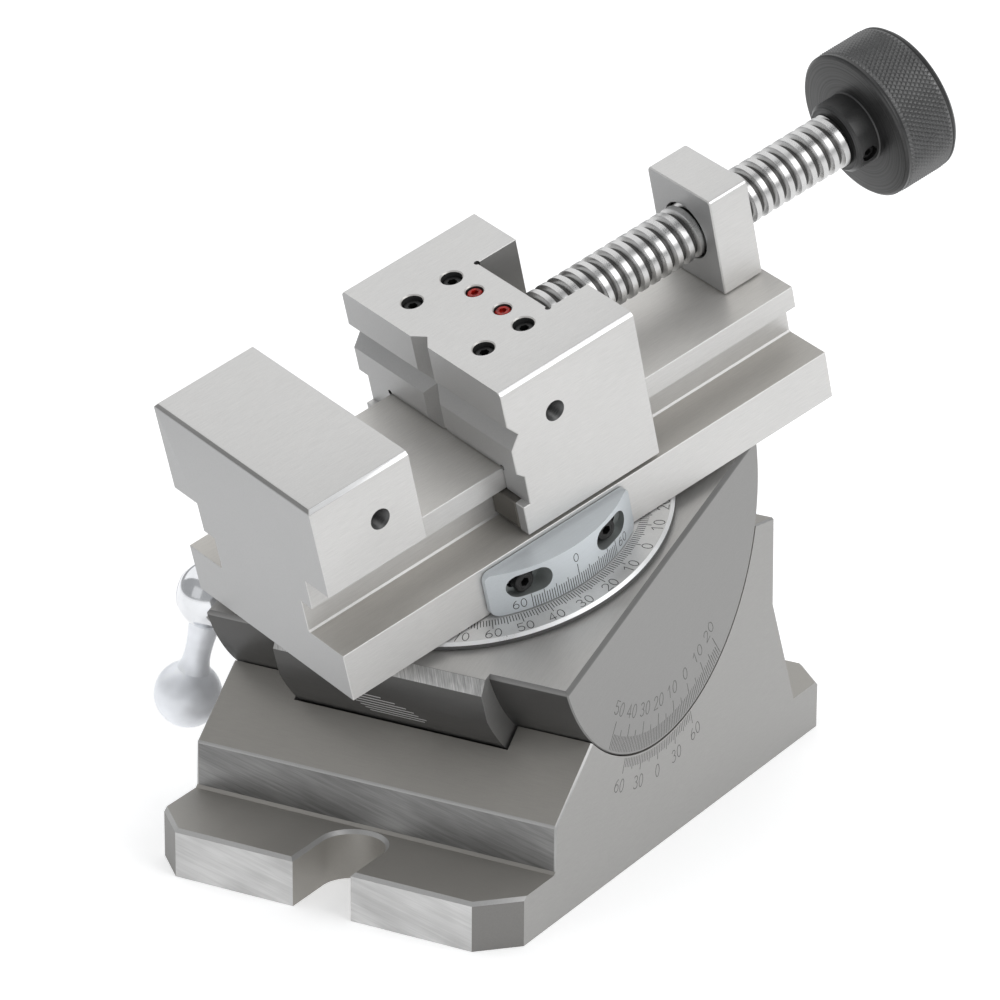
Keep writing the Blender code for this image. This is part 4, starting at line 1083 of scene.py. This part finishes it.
def make_knob():
    low, high, radius = KNOB_FACE + 1.9, KNOB_END - 2.2, KNOB_RADIUS
    count, depth, rows = 92, 0.5, 14
    bm, grid = knurl(low, high, radius, depth, count, rows)
    for face in bm.faces:
        face.material_index = MILLED
    rim = radius - depth
    front = [(rim, low), (radius - 0.25, low - 0.35), (radius - 0.25, KNOB_FACE + 0.8),
             (radius - 0.95, KNOB_FACE + 0.1), (radius - 1.3, KNOB_FACE), (HUB_RADIUS + 0.35, KNOB_FACE),
             (HUB_RADIUS, KNOB_FACE - 0.35), (HUB_RADIUS, HUB_FACE + 1.0), (HUB_RADIUS - 1.0, HUB_FACE),
             (6.3, HUB_FACE), (6.3, HUB_FACE + 12), (0, HUB_FACE + 12)]
    back = [(rim, high), (radius - 0.25, high + 0.35), (radius - 0.3, KNOB_END - 1.4),
            (radius - 1.4, KNOB_END - 0.2), (radius - 2.0, KNOB_END), (9.0, KNOB_END),
            (8.2, KNOB_END - 0.7), (0, KNOB_END - 0.7)]
    for profile, first in ((front, grid[0]), (back, grid[-1])):
        previous = first
        for radius_here, y in profile[1:]:
            if radius_here == 0:
                centre = bm.verts.new((0, y, 0))
                for i in range(2 * count):
                    bm.faces.new((previous[i], previous[(i + 1) % (2 * count)], centre))
                break
            turns = [pi * i / count for i in range(2 * count)]
            ring = [bm.verts.new((radius_here * sin(t), y, radius_here * cos(t))) for t in turns]
            for i in range(2 * count):
                j = (i + 1) % (2 * count)
                bm.faces.new((previous[i], previous[j], ring[j], ring[i]))
            previous = ring
    knob = dress(shape(bm), MATS["knob"], MATS["vise_edge_glint"], MATS["screw"], MATS["knurl"])
    hole_y, turn = 139.6, Matrix.Rotation(radians(14), 4, "Y")
    cut(knob, moved(rod(2.5, (5, hole_y, 0), 10, "X", 32), turn), slot=BORE)
    place(knob, "knurled_hand_knob", SPINDLE, "screw", "knob", "hand_knob", smooth=38)
    profile = [(0, 0), (2.2, 0), (2.2, 2.6), (1.9, 2.9), (0, 2.9)]
    screw = dress(lathe(profile, (6.6, hole_y, 0), "X", 32), MATS["screw"])
    cut(screw, rod(1.2, (8, hole_y, 0), 5, "X", 6))
    place(moved(screw, turn), "knob_grub_screw", SPINDLE, "screw", "screw", "knob_screw")


# --- hidden CAD parts, stage and camera

def finish_hidden():
    """The parts inside keep their CAD shape and get the finished materials."""
    for name in ("pivot_post", "pivot_washer", "pivot_nut", "clamp_shaft", "clamp_shoe"):
        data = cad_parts[name].data
        data.materials.clear()
        data.materials.append(MATS["screw"])


def softbox(name, direction, distance, size, power):
    """Square area light that looks at the vise from a direction."""
    light = bpy.data.lights.new(name, "AREA")
    light.shape, light.size, light.energy = "SQUARE", size, power
    obj = add_object(name, light)
    target = Vector((0, 0, 0.08))
    obj.location = target + Vector(direction).normalized() * distance
    obj.rotation_euler = (obj.location - target).to_track_quat("Z", "Y").to_euler()


def make_stage():
    reach, thickness = 30000, 40
    floor = moved(block((-reach, -reach, -thickness), (reach, reach, 0)), Matrix.Scale(MM, 4))
    floor.name = "floor"
    g = Graph(0.0, 0.9)
    g.mat.name = "floor_pale"
    g.tint((0.9, 0.9, 0.9), g.spread(g.noise(60, detail=1), 0.99, 1.0))
    socket(g.shader, "Specular IOR Level", 0.0)
    socket(g.shader, "Emission Color", (1, 1, 1, 1))
    socket(g.shader, "Emission Strength", 0.42)
    dress(floor, g.mat)

    world = bpy.data.worlds.new("studio")
    bpy.context.scene.world = world
    world.use_nodes = True
    background = world.node_tree.nodes["Background"]
    socket(background, "Color", (0.97, 0.985, 1.0, 1))
    socket(background, "Strength", 0.42)
    softbox("top_softbox", (-0.46, 0.38, 0.80), 1.3, 2.2, 11.0)
    softbox("right_softbox", (0.80, -0.12, 0.60), 1.2, 0.8, 4.6)
    softbox("front_fill", (-0.35, -0.9, 0.35), 1.6, 0.9, 0.8)
    bpy.context.scene.view_settings.view_transform = "Standard"


def make_camera():
    azimuth, elevation, roll, distance = radians(29.58), radians(22.01), radians(0.45), 1565
    camera = bpy.data.cameras.new("photo_view")
    camera.lens = 203.8
    camera.sensor_width = 36
    camera.clip_start, camera.clip_end = 0.1, 20
    camera.shift_x, camera.shift_y = -0.01637, 0.08864
    obj = add_object("photo_view", camera)
    back = Vector((cos(elevation) * sin(azimuth), -cos(elevation) * cos(azimuth), sin(elevation)))
    right = Vector((cos(azimuth), sin(azimuth), 0))
    up = back.cross(right)
    turned_right = right * cos(roll) + up * sin(roll)
    turned_up = up * cos(roll) - right * sin(roll)
    target = Vector((-0.79, 10.12, 56.48))
    columns = Matrix((turned_right, turned_up, back)).transposed().to_4x4()
    obj.matrix_world = Matrix.Translation((target + back * distance) * MM) @ columns
    bpy.context.scene.camera = obj


make_camera()
make_stage()
make_base()
make_rocker()
make_ring()
make_clamp()
make_body()
make_vernier()
make_jaw()
make_keepers()
make_nut_block()
make_spindle()
make_knob()
finish_hidden()
